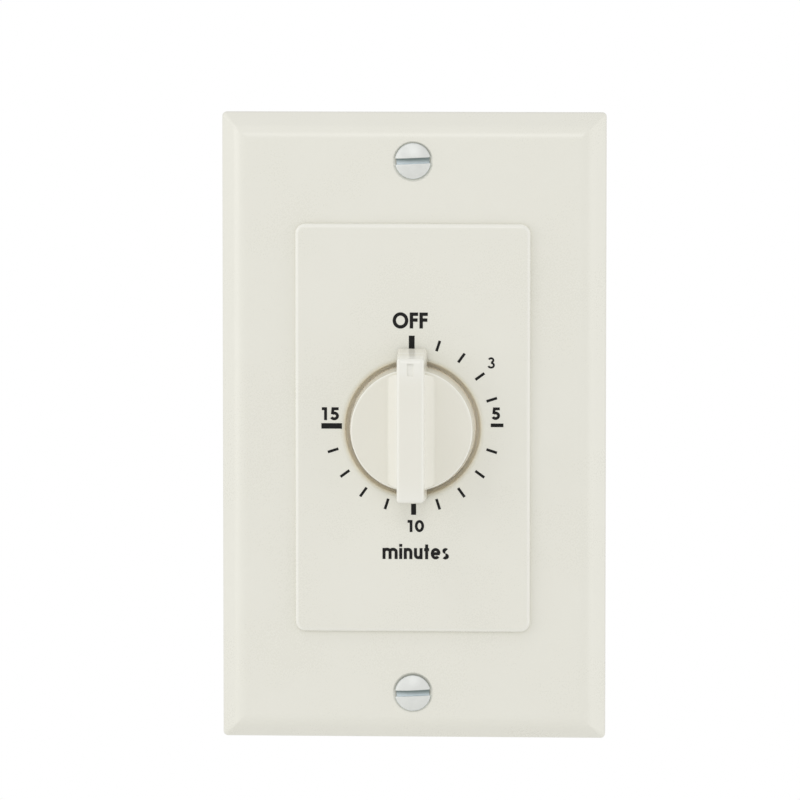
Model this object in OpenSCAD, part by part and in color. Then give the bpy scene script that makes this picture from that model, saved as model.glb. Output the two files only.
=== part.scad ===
// Spring wound countdown timer switch for a one-gang wall box: wall plate, dial, knob and
// clockwork. The front faces -Y, +Z is up, and the origin is on the knob's axis at the wall.

/* [Wall plate] */
// Width of the wall plate
plate_w = 69.85; // [66:0.05:80]
// Height of the wall plate
plate_h = 114.3; // [110:0.1:126]
// Depth of the wall plate from the wall to its front face
plate_d = 5.6; // [5:0.1:8]
// Width of the bevel round the front face, seen from the front
plate_bevel = 4.1; // [2.5:0.1:5]
// Height of the straight edge that stands on the wall
plate_edge = 1.5; // [1:0.1:2.5]
// Thickness of the moulded wall
plate_wall = 1.8; // [1.4:0.1:2.2]
// Radius of the four outer corners
plate_corner_r = 0.8; // [0.4:0.1:1.4]
// Radius that softens the bevel's edges
plate_soft_r = 1.6; // [0.4:0.1:2]
// Distance from the plate's top and bottom edges to the plate screws
plate_screw_inset = 8.73; // [8:0.01:10]
// Outer diameter of the bosses under the plate screws
plate_boss_d = 8.6; // [7.5:0.1:9]
// Thickness of the stiffening ribs on the back
plate_rib_t = 1.2; // [0.8:0.1:2]

/* [Window] */
// How far the dial's flange laps over the window at the sides
window_lap_x = 4.7; // [3:0.1:5.5]
// How far the dial's flange laps over the window at the top and bottom
window_lap_z = 3.8; // [2.5:0.1:5]
// Thickness of the lip round the window on the back
window_lip = 1.4; // [1:0.1:2]

/* [Dial] */
// Width of the dial's flange
dial_w = 42.7; // [39.5:0.1:46]
// Distance from the plate's top and bottom edges to the dial's flange
dial_inset = 20; // [18.5:0.1:22]
// Thickness of the flange in front of the wall plate
dial_t = 1.2; // [0.9:0.1:1.8]
// Radius of the flange's corners
dial_corner_r = 1.8; // [1:0.1:4]
// Radius of the flange's front edge
dial_edge_r = 0.55; // [0.2:0.05:0.8]
// Gap between the knob's disc and the well round it
well_gap = 0.65; // [0.5:0.05:1]
// Radius of the well's front edge
well_edge_r = 0.9; // [0.3:0.1:1.1]
// Depth of the well's floor behind the flange's front
well_depth = 2.2; // [1.6:0.1:2.8]
// Wall of the well and of the skirt
dial_wall = 1.3; // [1:0.1:1.6]
// Width of each snap hook
hook_w = 6; // [4:0.5:9]
// How far a snap hook reaches behind the window's lip
hook_reach = 0.6; // [0.3:0.05:0.9]

/* [Knob] */
// Diameter of the knob's disc at its back
knob_d = 23.1; // [22:0.1:23.6]
// How much smaller the disc's face is than its back, on the radius
disc_draft = 0.5; // [0.1:0.05:0.9]
// How far the disc's face stands in front of the dial
knob_rise = 4.4; // [3:0.1:5.5]
// How far the bar's top stands in front of the dial
bar_rise = 9; // [7.5:0.1:12]
// Width of the bar's top
bar_w = 4.9; // [4:0.1:6]
// How far the top of the bar's pointer end reaches past the disc
lead_over = 1.85; // [1.2:0.05:2.6]
// How far the top of the bar's blunt end reaches past the disc
tail_over = 1.2; // [1:0.05:2.1]
// How far the pointer end slopes out below the top
lead_slope = 1.15; // [0.6:0.05:1.8]
// How far the blunt end slopes out below the top
tail_slope = 0.3; // [0.1:0.05:1.5]
// Width of the sloped shoulders between the bar and the disc
shoulder_w = 1.95; // [1:0.05:2.4]
// Height of the shoulders above the disc
shoulder_h = 1.5; // [0.8:0.1:2]
// Radius of the disc's rim, where the shoulders end
rim_r = 0.4; // [0.2:0.05:0.9]
// Radius of the bar's top edges
bar_soft_r = 0.7; // [0.3:0.05:1]
// Radius of the upright edges of the bar's ends
bar_end_r = 0.6; // [0.3:0.1:1.2]
// Width of the pointer notch
notch_w = 1.1; // [0.7:0.1:1.6]
// Length of the pointer notch
notch_len = 2.5; // [1.5:0.1:3.5]
// Depth of the pointer notch
notch_d = 0.45; // [0.2:0.05:0.8]
// Distance from the pointer end to the notch
notch_inset = 0.6; // [0.5:0.05:1]
// Wall of the hollow knob
knob_wall = 1.5; // [1.2:0.1:1.8]
// Outer diameter of the knob's hub
hub_d = 9.6; // [9.2:0.1:10.4]

/* [Shaft] */
// Diameter of the D shaft
shaft_d = 6.35; // [6:0.05:6.5]
// Depth of the flat on the D shaft
flat_d = 1.2; // [0.8:0.1:1.4]
// Thickness of the spring clip on the flat
clip_t = 0.5; // [0.3:0.05:0.6]
// Diameter of the arbor between the frame plates
arbor_d = 4; // [3.4:0.1:4.4]

/* [Strap] */
// Thickness of the steel mounting strap
strap_t = 1.3; // [1.1:0.05:1.6]
// Distance from the plate's top and bottom edges to the strap's ends
strap_inset = 4.15; // [3.5:0.05:5]
// How far the strap stands out beside the case
strap_over = 0.6; // [0.3:0.1:2]
// Width of the strap's ends
strap_end_w = 18; // [15:0.5:20]
// Radius of the plaster ears
ear_r = 4.6; // [4:0.1:5]
// Distance from each plate screw to the wall box screw beside it
box_screw_step = 6.75; // [6.4:0.01:8]
// Length of the slots for the wall box screws
box_slot_len = 6.4; // [5:0.1:7]

/* [Screws] */
// Thread diameter of the plate, box, ground and terminal screws
screw_d = 3.5; // [3:0.05:3.6]
// Head diameter of the plate screws
plate_head_d = 6.6; // [6.2:0.1:7.2]
// Room round the plate screw's head in its sunk hole
sink_room = 0.25; // [0.1:0.05:0.4]
// Rise of the plate screw's oval head
plate_head_rise = 0.9; // [0.6:0.05:1.2]
// Width of the screw slots
slot_w = 1.1; // [0.7:0.05:1.2]
// Turn of the plate screw slots away from level
slot_tilt = 2.5; // [0:0.5:90]
// Length of the plate screws behind the wall plane
plate_screw_len = 6; // [4:0.5:9]
// Length of the wall box screws behind the wall plane
box_screw_len = 22; // [15:0.5:28]
// Thread diameter of the small flat-head screws in the strap
small_screw_d = 2.5; // [2:0.05:2.6]

/* [Case] */
// Wall of the moulded case
case_wall = 2; // [1.5:0.1:2.5]
// Thickness of the case's back
case_back = 2.5; // [2:0.1:3.5]
// Radius of the case's upright corners
case_corner_r = 3; // [2.6:0.1:4]
// Radius of the edges round the case's back
case_edge_r = 0.8; // [0.4:0.1:1.2]
// Radius of the lugs that the case screws hold
lug_r = 3.2; // [2.8:0.1:3.6]
// Length of the lugs behind the strap
lug_len = 8; // [7:0.5:12]

/* [Frame] */
// Thickness of the two frame plates
frame_t = 1; // [0.8:0.1:1.4]
// Length of the spacers between the strap and the front plate
spacer_len = 8; // [7:0.1:10]
// Diameter of the spacers
spacer_d = 5.2; // [4.6:0.1:5.4]
// Diameter of the pillars between the plates
pillar_d = 4; // [3.6:0.1:4.2]
// Distance from the plate's edges to the pillars
pillar_inset = 2.7; // [2.6:0.1:3.2]

/* [Mainspring] */
// Thickness of the spring strip
strip_t = 0.4; // [0.3:0.05:0.6]
// Turns of the spring
spring_turns = 7; // [5:1:8]
// Distance between the turns of the spring
spring_pitch = 1.5; // [1.2:0.05:1.6]
// Diameter of the post that holds the spring's outer end
post_d = 2; // [1.6:0.1:2.4]

/* [Gear train] */
// Teeth of the main wheel
main_teeth = 60; // [54:2:66]
// Tooth module of the main wheel
main_module = 0.5; // [0.46:0.01:0.54]
// Teeth of the second and third wheels
wheel_teeth = 50; // [46:2:54]
// Tooth module of the second wheel
second_module = 0.4; // [0.37:0.01:0.43]
// Tooth module of the third wheel
third_module = 0.3; // [0.28:0.01:0.32]
// Leaves of each pinion
leaves = 10; // [9:1:11]
// Teeth of the escape wheel
escape_teeth = 24; // [20:2:26]
// Radius of the escape wheel's tips
escape_r = 4.8; // [4.4:0.1:5.2]
// Distance between the escape wheel's tips and the pallet arbor
pallet_reach = 3; // [2.8:0.1:3.4]
// Thickness of the main wheel
main_t = 1.2; // [0.9:0.1:1.5]
// Thickness of the other wheels
wheel_t = 0.8; // [0.6:0.1:1]
// Gap between one layer of wheels and the next
layer_gap = 1.4; // [1.2:0.1:1.8]
// Diameter of the train's arbors
train_d = 1.6; // [1.4:0.1:1.8]
// Diameter of the train's pivots
pivot_d = 1; // [0.8:0.05:1.2]
// Length of the inertia bar on the pallet arbor
bar_len = 13; // [10:0.5:14]

/* [Switch] */
// Radius of the cam away from its lobe
cam_r = 4.8; // [4.2:0.1:5]
// Rise of the lobe that opens the contacts
cam_lift = 1.2; // [1:0.1:1.4]
// Thickness of the cam and of the contact lever
cam_t = 2.6; // [2:0.1:3]
// Gap between the open contacts
contact_gap = 1.2; // [0.8:0.1:1.4]
// Distance from the cam's axis across to the lever's pin
pin_x = 14; // [13:0.1:15]
// Distance from the cam's axis across to the contacts
contact_x = 12; // [11:0.1:13]
// Height of the contact lever's beam
lever_h = 2.4; // [2:0.1:2.8]
// Thickness of the brass terminals
terminal_t = 1; // [0.8:0.1:1.2]
// Width of the brass terminals
terminal_w = 7.6; // [7:0.1:8]
// Turns of the lever's return spring
coil_turns = 4; // [3:1:5]
// Wire diameter of the lever's return spring
wire_d = 0.4; // [0.3:0.05:0.5]

/* [Clearances] */
// Radial play of a turning fit
running = 0.05; // [0.02:0.01:0.08]
// Radial play of a fixed pin, screw or pressed piece in its hole
fixed = 0.03; // [0.02:0.01:0.06]
// Play between moulded pieces that clip or slot together
clip_gap = 0.15; // [0.1:0.01:0.25]
// End play of a turning piece between its shoulders
end_play = 0.1; // [0.05:0.01:0.15]
// Room between the movement and the case
case_gap = 0.6; // [0.4:0.1:1]
// Running gap under the knob's disc
knob_gap = 0.4; // [0.3:0.05:0.6]
// Running gap between the bar's ends and the dial
bar_gap = 0.6; // [0.4:0.05:0.9]

/* [Hidden] */
$fn = 64;

ivory = [0.90, 0.89, 0.82];
steel = [0.72, 0.73, 0.75];
brass = [0.83, 0.68, 0.35];
phenolic = [0.12, 0.11, 0.11];

// Widths and heights that follow the wall plate and the knob
plate_screw_pitch = plate_h - 2 * plate_screw_inset;
box_screw_pitch = plate_screw_pitch - 2 * box_screw_step;
strap_len = plate_h - 2 * strap_inset;
dial_h = plate_h - 2 * dial_inset;
window_w = dial_w - 2 * window_lap_x;
window_h = dial_h - 2 * window_lap_z;
well_d = knob_d + 2 * well_gap;
bar_lead = knob_d / 2 + lead_over;
bar_tail = knob_d / 2 + tail_over;
bar_low_lead = bar_lead + lead_slope;
bar_low_tail = bar_tail + tail_slope;
bar_draft = 0.2;
shoulder_root = 0.2;

// Depths along Y, from the front to the wall
strap_front = -strap_t;
plate_front = -plate_d;
plate_inner = plate_front + plate_wall;
dial_front = plate_front - dial_t;
skirt_back = strap_front - 2 * clip_gap;
hook_t = 0.9;
lip_back = skirt_back - hook_t - clip_gap / 3;
well_floor = dial_front + well_depth;
well_back = well_floor + dial_wall;
knob_back = well_floor - knob_gap;
knob_face = dial_front - knob_rise;
bar_top = dial_front - bar_rise;
bar_under = dial_front - bar_gap;
bushing_t = 1;
bushing_proud = 0.5;
bushing_front = strap_front - bushing_proud;
hub_back = bushing_front - 5 * end_play;
bore_roof = 1;
bore_end = knob_face + bore_roof;
shaft_tip = bore_end + 2 * end_play;

// Depths along Y, behind the wall plane
front_y0 = spacer_len;
front_y1 = front_y0 + frame_t;
clutch_hub_t = 1;
clutch_hub_y1 = front_y1 + clutch_hub_t;
main_y0 = clutch_hub_y1;
main_y1 = main_y0 + main_t;
clutch_washer_t = 0.7;
clutch_clip_t = 0.8;
second_y0 = main_y1 + layer_gap;
second_y1 = second_y0 + wheel_t;
third_y0 = second_y1 + layer_gap;
third_y1 = third_y0 + wheel_t;
escape_y0 = third_y1 + layer_gap;
escape_y1 = escape_y0 + wheel_t;
back_gap = 0.8;
back_y0 = escape_y1 + back_gap;
back_y1 = back_y0 + frame_t;
stop_y0 = back_y1 + 3 * end_play;
stop_y1 = stop_y0 + frame_t;
cam_y0 = stop_y1;
cam_y1 = cam_y0 + cam_t;
cam_clip_t = 0.7;
arbor_over = 0.6;
arbor_end = cam_y1 + cam_clip_t + arbor_over;
arbor_room = 0.8;
case_inner = arbor_end + arbor_room + terminal_t;
case_rear = case_inner + case_back;

// Teeth, in modules: clock teeth with straight flanks and a pointed arch above the pitch circle
wheel_add = 1.1;
wheel_ded = 1.2;
tooth_w = 1.45;
leaf_add = 0.55;
leaf_ded = 1.6;
leaf_w = 1.1;
pinion_over = 0.4;
function pitch_r(teeth, m) = teeth * m / 2;
function tip_r(teeth, m) = pitch_r(teeth, m) + wheel_add * m;
function polar(r, a) = [r * cos(a), r * sin(a)];
// Turn of a second gear that puts its leaf in the first gear's gap, on the line at angle dir
function meshed(dir, turn, teeth_a, teeth_b) =
    dir + 180 - 360 / teeth_b * (0.5 - (dir - turn) * teeth_a / 360);

// Places of the arbors, seen from the front, each set from the one that drives it
second_dir = 62.8;
third_dir = 169.5;
escape_dir = 199;
pallet_dir = 230;
second_at = polar(pitch_r(main_teeth, main_module) + pitch_r(leaves, main_module), second_dir);
third_at = second_at
    + polar(pitch_r(wheel_teeth, second_module) + pitch_r(leaves, second_module), third_dir);
escape_at = third_at
    + polar(pitch_r(wheel_teeth, third_module) + pitch_r(leaves, third_module), escape_dir);
pallet_at = escape_at + polar(escape_r + pallet_reach, pallet_dir);
second_turn = meshed(second_dir, 0, main_teeth, leaves);
third_turn = meshed(third_dir, second_turn, wheel_teeth, leaves);
escape_turn = meshed(escape_dir, third_turn, wheel_teeth, leaves);

// The frame plates take in the wheels, and the case takes in the frame
main_tip = tip_r(main_teeth, main_module);
second_tip = tip_r(wheel_teeth, second_module);
third_tip = tip_r(wheel_teeth, third_module);
frame_margin = 1.4;
frame_half_w = max(main_tip, second_at[0] + second_tip, train_d - pallet_at[0]) + frame_margin;
frame_top = max(second_at[1] + second_tip, third_at[1] + third_tip) + frame_margin / 2;
frame_bottom = main_tip + 2.5 * frame_margin;
pillar_x = frame_half_w - pillar_inset;
pillar_places = [for (x = [-pillar_x, pillar_x],
    z = [pillar_inset - frame_bottom, frame_top - pillar_inset]) [x, z]];
case_half_w = frame_half_w + case_gap + case_wall;
case_half_h = frame_top + case_gap + case_wall;
strap_w = 2 * (case_half_w + strap_over);
lug_sink = 0.6;
lug_z = case_half_h + lug_r - lug_sink;
lug_x = case_half_w - case_corner_r - lug_r - lug_sink;
lug_places = [[-lug_x, lug_z], [lug_x, -lug_z]];
train_places = [second_at, third_at, escape_at, pallet_at];
tenon_d = small_screw_d;
tenon_len = 1.6;
ground_at = [-case_half_w + 6, -case_half_h - 4.4];
box_head_d = screw_d + 3;
box_head_h = 1.7;
head_slot = 0.9;
oval_slot = 1.2;
retainer_t = 0.8;
retainer_w = box_slot_len + 1.6;
neck_d = screw_d - 0.8;
terminal_head_d = 2 * screw_d + 0.2;
terminal_head_h = 2;
bushing_r = shaft_d / 2 + 2;
bushing_flange = 1.6;
clutch_r = 4;
arbor_hole = arbor_d + 2 * fixed;

// The pallets stand four and a half teeth apart. At rest each is a quarter pitch off a tip.
escape_pitch = 360 / escape_teeth;
pallet_span = 4.5 * escape_pitch;
escape_phase = pallet_dir + pallet_span / 2 - escape_pitch / 4;
pallet_clear = 0.12;
inertia_t = 1.2;
inertia_w = 1.8;
weight_r = 1.5;
inertia_y0 = second_y0 + layer_gap / 4;

// Mainspring
spring_seat_d = shaft_d - 1.4;
collar_t = 0.8;
collar_rise = 1;
spring_collar_y1 = bushing_t + collar_t;
spring_room = 0.4;
spring_y0 = spring_collar_y1 + spring_room;
spring_y1 = front_y0 - 1.5 * spring_room;
spring_start = 0.3;
spring_inner_r = spring_seat_d / 2 + spring_start + strip_t / 2;
hook_slot = strip_t + 0.3;
spring_outer_r = spring_inner_r + spring_turns * spring_pitch;
spring_end_dir = 270;
post_at = polar(spring_outer_r + strip_t / 2 + fixed + post_d / 2, spring_end_dir);

// Switch
nose_gap = 0.1;
nose_r = 1.5;
nose_h = 1.3;
lever_top = -cam_r - cam_lift - nose_gap - nose_h;
lever_z = lever_top - lever_h / 2;
lever_y0 = cam_y0 + end_play;
lever_y1 = cam_y1 - end_play;
lever_mid = (lever_y0 + lever_y1) / 2;
pin_d = 2.4;
contact_d = 2.4;
contact_h = 0.8;
fixed_face = lever_top + contact_h + contact_gap;
leaf_front = case_inner - terminal_t;
coil_x = -contact_x / 3;
coil_d = 3.2;
coil_len = 4.2;
coil_seat = lever_z - lever_h / 2 - coil_len;
ledge_t = 2;
exit_z = coil_seat - 2 * ledge_t;
tab_len = 9.5;
barrier_t = 1.6;
barrier_over = 3;
tab_end = exit_z - tab_len;
terminal_screw_z = exit_z - tab_len / 2 - terminal_t / 2;
stop_r = 7.6;
stop_post_d = 2.4;
stop_margin = 0.4;
timer_sweep = 270;

// Draws a flat shape in the XZ plane and carries it from depth y0 to depth y1
module slab(y0, y1) {
    translate([0, y1, 0]) rotate([90, 0, 0]) linear_extrude(y1 - y0) children();
}

// Carries a profile of [x, y] points along Z
module along_z(z0, z1, profile) {
    translate([0, 0, z0]) linear_extrude(z1 - z0) polygon(profile);
}

// Carries a profile of [y, z] points along X
module along_x(x0, x1, profile) {
    translate([x0, 0, 0]) rotate([90, 0, 90]) linear_extrude(x1 - x0) polygon(profile);
}

// Turns a profile of [radius, y] points about the knob's axis, or about an axis beside it
module turned(profile, at = [0, 0]) {
    translate([at[0], 0, at[1]]) rotate([90, 0, 0]) rotate_extrude()
        polygon([for (p = profile) [p[0], -p[1]]]);
}

module rod(d, y0, y1, at = [0, 0]) {
    slab(y0, y1) translate(at) circle(d = d);
}

module rounded(w, h, r) {
    square([w - 2 * r, h], center = true);
    square([w, h - 2 * r], center = true);
    for (x = [-1, 1], z = [-1, 1]) translate([x * (w / 2 - r), z * (h / 2 - r)]) circle(r);
}

function arc(x, y, r, from, to, steps = 5) =
    [for (i = [0 : steps]) [x, y] + polar(r, from + (to - from) * i / steps)];

// Half section of a bevelled plate: straight edge, bevel and front, with softened edges.
// Points are [distance from the middle, depth], from the wall out to the front's middle.
function bevel_half(half, depth, edge, bevel, soft) = let (
    slope = atan2(depth - edge, bevel),
    turn_e = soft * tan((90 - slope) / 2),
    turn_f = soft * tan(slope / 2),
    front = half - bevel)
    concat([[half, 0]],
        arc(half - soft, -edge + turn_e, soft, 0, slope - 90),
        arc(front - turn_f, -depth + soft, soft, slope - 90, -90));

function mirrored(points) =
    concat(points, [for (i = [len(points) - 1 : -1 : 0]) [-points[i][0], points[i][1]]]);

// A bevelled plate with mitred corners: two sections crossed
module bevelled(w, h, depth, edge, bevel, soft) {
    intersection() {
        along_z(-h / 2, h / 2, mirrored(bevel_half(w / 2, depth, edge, bevel, soft)));
        along_x(-w / 2, w / 2,
            [for (p = mirrored(bevel_half(h / 2, depth, edge, bevel, soft))) [p[1], p[0]]]);
    }
}

// Wheels and pinions

function tooth_points(teeth, radius, add, ded, width, tip, mid) = let (
    half = width / 2 / radius * 180 / PI)
    [for (k = [0 : teeth - 1], p = [[-ded, -1], [0, -1], [0.6 * add, -mid], [add, -tip],
        [add, tip], [0.6 * add, mid], [0, 1], [-ded, 1]])
        polar(radius + p[0], k * 360 / teeth + p[1] * half)];

module wheel_outline(teeth, m) {
    polygon(tooth_points(teeth, pitch_r(teeth, m), wheel_add * m, wheel_ded * m, tooth_w * m,
        0.2, 0.7));
}

// A wheel blank with its rim, hub and spokes left standing between the crossings
module crossed_wheel(teeth, m, hub_r, spokes) {
    rim_r = pitch_r(teeth, m) - (wheel_ded + 2.6) * m;
    difference() {
        wheel_outline(teeth, m);
        difference() {
            circle(rim_r);
            circle(hub_r);
            for (k = [0 : spokes - 1]) rotate(k * 360 / spokes) translate([0, -1.1 * m])
                square([rim_r + m, 2.2 * m]);
        }
    }
}

module pinion(m, turn, y0, y1, at) {
    slab(y0, y1) translate(at) rotate(turn)
        polygon(tooth_points(leaves, pitch_r(leaves, m), leaf_add * m, leaf_ded * m, leaf_w * m,
            0.3, 0.8));
}

// An arbor of the train: a body between the plates and a pivot in each plate
module train_arbor(at) {
    reach = frame_t + 2 * end_play;
    turned([[0, front_y1 - reach], [pivot_d / 2, front_y1 - reach],
        [pivot_d / 2, front_y1 + end_play], [train_d / 2, front_y1 + end_play],
        [train_d / 2, back_y0 - end_play], [pivot_d / 2, back_y0 - end_play],
        [pivot_d / 2, back_y0 + reach], [0, back_y0 + reach]], at);
}

module train_wheel(m, turn, y0, at) {
    hub_r = train_d / 2 + 1.2;
    difference() {
        union() {
            slab(y0, y0 + wheel_t) translate(at) rotate(turn)
                crossed_wheel(wheel_teeth, m, hub_r, 4);
            rod(2 * hub_r - 0.6, y0 - layer_gap / 3, y0 + wheel_t / 2, at);
        }
        rod(train_d + 2 * fixed, y0 - layer_gap, y0 + 2 * wheel_t, at);
    }
}

// Front: wall plate, dial and knob

module plate_screw_sink() {
    head_r = plate_head_d / 2 + sink_room;
    hole_r = screw_d / 2 + 2 * running;
    turned([[0, plate_front - 1], [head_r, plate_front - 1], [head_r, plate_front],
        [hole_r, plate_front + head_r - hole_r], [hole_r, 1], [0, 1]]);
}

module at_plate_screws() {
    for (z = [-1, 1]) translate([0, 0, z * plate_screw_pitch / 2]) children();
}

module wall_plate() color(ivory) difference() {
    rib_sink = 0.3;
    union() {
        difference() {
            intersection() {
                bevelled(plate_w, plate_h, plate_d, plate_edge, plate_bevel, plate_soft_r);
                slab(-plate_d, 0) rounded(plate_w, plate_h, plate_corner_r);
            }
            translate([0, 0.01, 0]) bevelled(plate_w - 2 * plate_wall, plate_h - 2 * plate_wall,
                plate_d - plate_wall + 0.01, plate_edge, plate_bevel, plate_soft_r / 2);
        }
        slab(plate_inner - rib_sink, lip_back)
            square([window_w + 2 * window_lip, window_h + 2 * window_lip], center = true);
        difference() {
            at_plate_screws() rod(plate_boss_d, plate_inner - rib_sink, strap_front);
            at_box_screws() rod(box_head_d + 4 * clip_gap, plate_inner, 0);
        }
        rib_x = plate_w / 2 - plate_wall - plate_bevel;
        for (x = [-rib_x, rib_x]) translate([x, 0, 0]) slab(plate_inner - rib_sink, strap_front)
            square([plate_rib_t, plate_h - 4 * plate_bevel], center = true);
        for (x = [-1, 1], z = [-window_h / 3, 0, window_h / 3])
            translate([x * (window_w / 2 + window_lip + rib_x) / 2, 0, z])
                slab(plate_inner - rib_sink, lip_back)
                square([rib_x - window_w / 2 - window_lip + rib_sink, plate_rib_t], center = true);
    }
    slab(plate_front - 1, 1) square([window_w, window_h], center = true);
    at_plate_screws() plate_screw_sink();
}

module screw_slot(y0, depth, width, tilt) {
    rotate([0, -tilt, 0]) translate([-10, y0 - 5, -width / 2]) cube([20, 5 + depth, width]);
}

module plate_screws() color(steel) at_plate_screws() difference() {
    head_r = plate_head_d / 2;
    dome_r = (head_r * head_r + plate_head_rise * plate_head_rise) / 2 / plate_head_rise;
    dome_y = plate_front - plate_head_rise + dome_r;
    edge = asin(head_r / dome_r);
    seat = plate_front + sink_room - running;
    point = 0.6;
    turned(concat(arc(0, dome_y, dome_r, -90, edge - 90, 8),
        [[head_r, seat], [screw_d / 2, seat + head_r - screw_d / 2], [screw_d / 2, plate_screw_len - point],
        [screw_d / 2 - point, plate_screw_len], [0, plate_screw_len]]));
    screw_slot(plate_front - plate_head_rise, oval_slot, slot_w, slot_tilt);
}

module dial_plate() color(ivory) {
    skirt_w = window_w - 2 * clip_gap;
    skirt_h = window_h - 2 * clip_gap;
    cup_r = well_d / 2 + dial_wall;
    edge_out = well_d / 2 + well_edge_r;
    difference() {
        union() {
            intersection() {
                translate([0, plate_front, 0])
                    bevelled(dial_w, dial_h, dial_t, dial_t - dial_edge_r, dial_edge_r, dial_edge_r);
                slab(dial_front, plate_front) rounded(dial_w, dial_h, dial_corner_r);
            }
            difference() {
                slab(plate_front, skirt_back) square([skirt_w, skirt_h], center = true);
                slab(plate_front, skirt_back + 1)
                    square([skirt_w - 2 * dial_wall, skirt_h - 2 * dial_wall], center = true);
            }
            rod(2 * cup_r, plate_front, well_back);
            for (z = [-cup_r / 2, cup_r / 2]) translate([0, 0, z]) slab(plate_front, well_back)
                square([skirt_w - 2 * dial_wall, dial_wall], center = true);
            slab(plate_front, well_back) square([dial_wall, skirt_h - 2 * dial_wall], center = true);
        }
        turned(concat([[0, dial_front - 1], [edge_out, dial_front - 1]],
            arc(edge_out, dial_front + well_edge_r, well_edge_r, -90, -180),
            [[well_d / 2, well_floor], [0, well_floor]]));
        rod(hub_d + 8 * clip_gap, dial_front, well_back + 1);
    }
    for (x = [-1, 1], z = [-window_h / 3, window_h / 3]) mirror([x < 0 ? 1 : 0, 0, 0])
        along_z(z - hook_w / 2, z + hook_w / 2, [[skirt_w / 2 - 0.01, skirt_back - hook_t],
            [window_w / 2 + hook_reach, skirt_back - hook_t], [skirt_w / 2 + 0.2, skirt_back],
            [skirt_w / 2 - 0.01, skirt_back]]);
}

// Side view of the bar as [y, z] points: rounded top, sloped ends and a level underside
function bar_side() = let (
    run = bar_under - bar_top,
    lead_lean = atan2(lead_slope, run),
    tail_lean = atan2(tail_slope, run),
    lead_turn = bar_soft_r * tan((90 - lead_lean) / 2),
    tail_turn = bar_soft_r * tan((90 - tail_lean) / 2),
    soft_y = bar_top + bar_soft_r)
    concat([[bar_under, -bar_low_tail]],
        [for (p = arc(tail_turn - bar_tail, soft_y, bar_soft_r, 180 + tail_lean, 270)) [p[1], p[0]]],
        [for (p = arc(bar_lead - lead_turn, soft_y, bar_soft_r, 270, 360 - lead_lean)) [p[1], p[0]]],
        [[bar_under, bar_low_lead]]);

// Section of the bar as [x, y] points, down to the underside of its ends
function bar_section() = mirrored(concat([[bar_w / 2 + bar_draft, bar_under]],
    arc(bar_w / 2 - bar_soft_r, bar_top + bar_soft_r, bar_soft_r, 0, -90)));

// Section of the shoulders that carry the bar's sides into the disc's face
function shoulder_section() = mirrored([[bar_w / 2 + shoulder_w, knob_face + shoulder_root],
    [bar_w / 2 + shoulder_w, knob_face], [bar_w / 2, knob_face - shoulder_h]]);

module d_bore(r, flat, y0, y1) {
    slab(y0, y1) intersection() {
        circle(r);
        translate([-r, flat - 3 * r]) square([2 * r, 3 * r]);
    }
}

module knob() color(ivory) {
    disc_r = knob_d / 2;
    face_r = disc_r - disc_draft;
    knob_rib_t = 1;
    flat = shaft_d / 2 - flat_d;
    difference() {
        union() {
            turned(concat([[0, knob_face], [face_r - rim_r, knob_face]],
                arc(face_r - rim_r, knob_face + rim_r, rim_r, -90, 0),
                [[disc_r, knob_back], [0, knob_back]]));
            rod(hub_d, knob_back, hub_back);
            intersection() {
                along_z(-knob_d, knob_d, bar_section());
                along_x(-bar_w, bar_w, bar_side());
                slab(bar_top - 1, bar_under + 1) translate([0, (bar_low_lead - bar_low_tail) / 2])
                    rounded(bar_w + 2 * bar_draft, bar_low_lead + bar_low_tail, bar_end_r);
            }
            intersection() {
                along_z(-disc_r, disc_r, shoulder_section());
                rod(2 * (face_r - rim_r), knob_face - 2 * shoulder_h, knob_face + shoulder_root);
            }
        }
        difference() {
            rod(knob_d - 2 * knob_wall, knob_face + knob_wall, knob_back + 1);
            rod(hub_d, knob_face, knob_back + 2);
            for (a = [0, 60, 120]) rotate([0, a, 0]) slab(knob_face, knob_back)
                square([knob_d, knob_rib_t], center = true);
        }
        d_bore(shaft_d / 2 + running, flat + clip_t + 2 * running, bore_end, hub_back + 1);
        translate([-notch_w / 2, bar_top - 1, bar_lead - notch_inset - notch_len])
            cube([notch_w, 1 + notch_d, notch_len]);
    }
}

module knob_clip() color(steel) {
    flat = shaft_d / 2 - flat_d;
    translate([-1.6, bore_end + 0.5, flat + running]) cube([3.2, hub_back - bore_end - 1.5, clip_t]);
}

// Strap and its fasteners

module at_box_screws() {
    for (z = [-1, 1]) translate([0, 0, z * box_screw_pitch / 2]) children();
}

module flat_head(d, tip) {
    turned([[0, strap_front], [d / 2 + strap_t * 0.9, strap_front], [d / 2, strap_front + strap_t * 0.9],
        [d / 2, tip], [0, tip]]);
}

module flat_head_sink(d) {
    r = d / 2 + fixed;
    turned([[0, strap_front - 1], [r + strap_t * 0.9 + 1, strap_front - 1],
        [r, strap_front + strap_t * 0.9], [r, 1], [0, 1]]);
}

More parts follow.
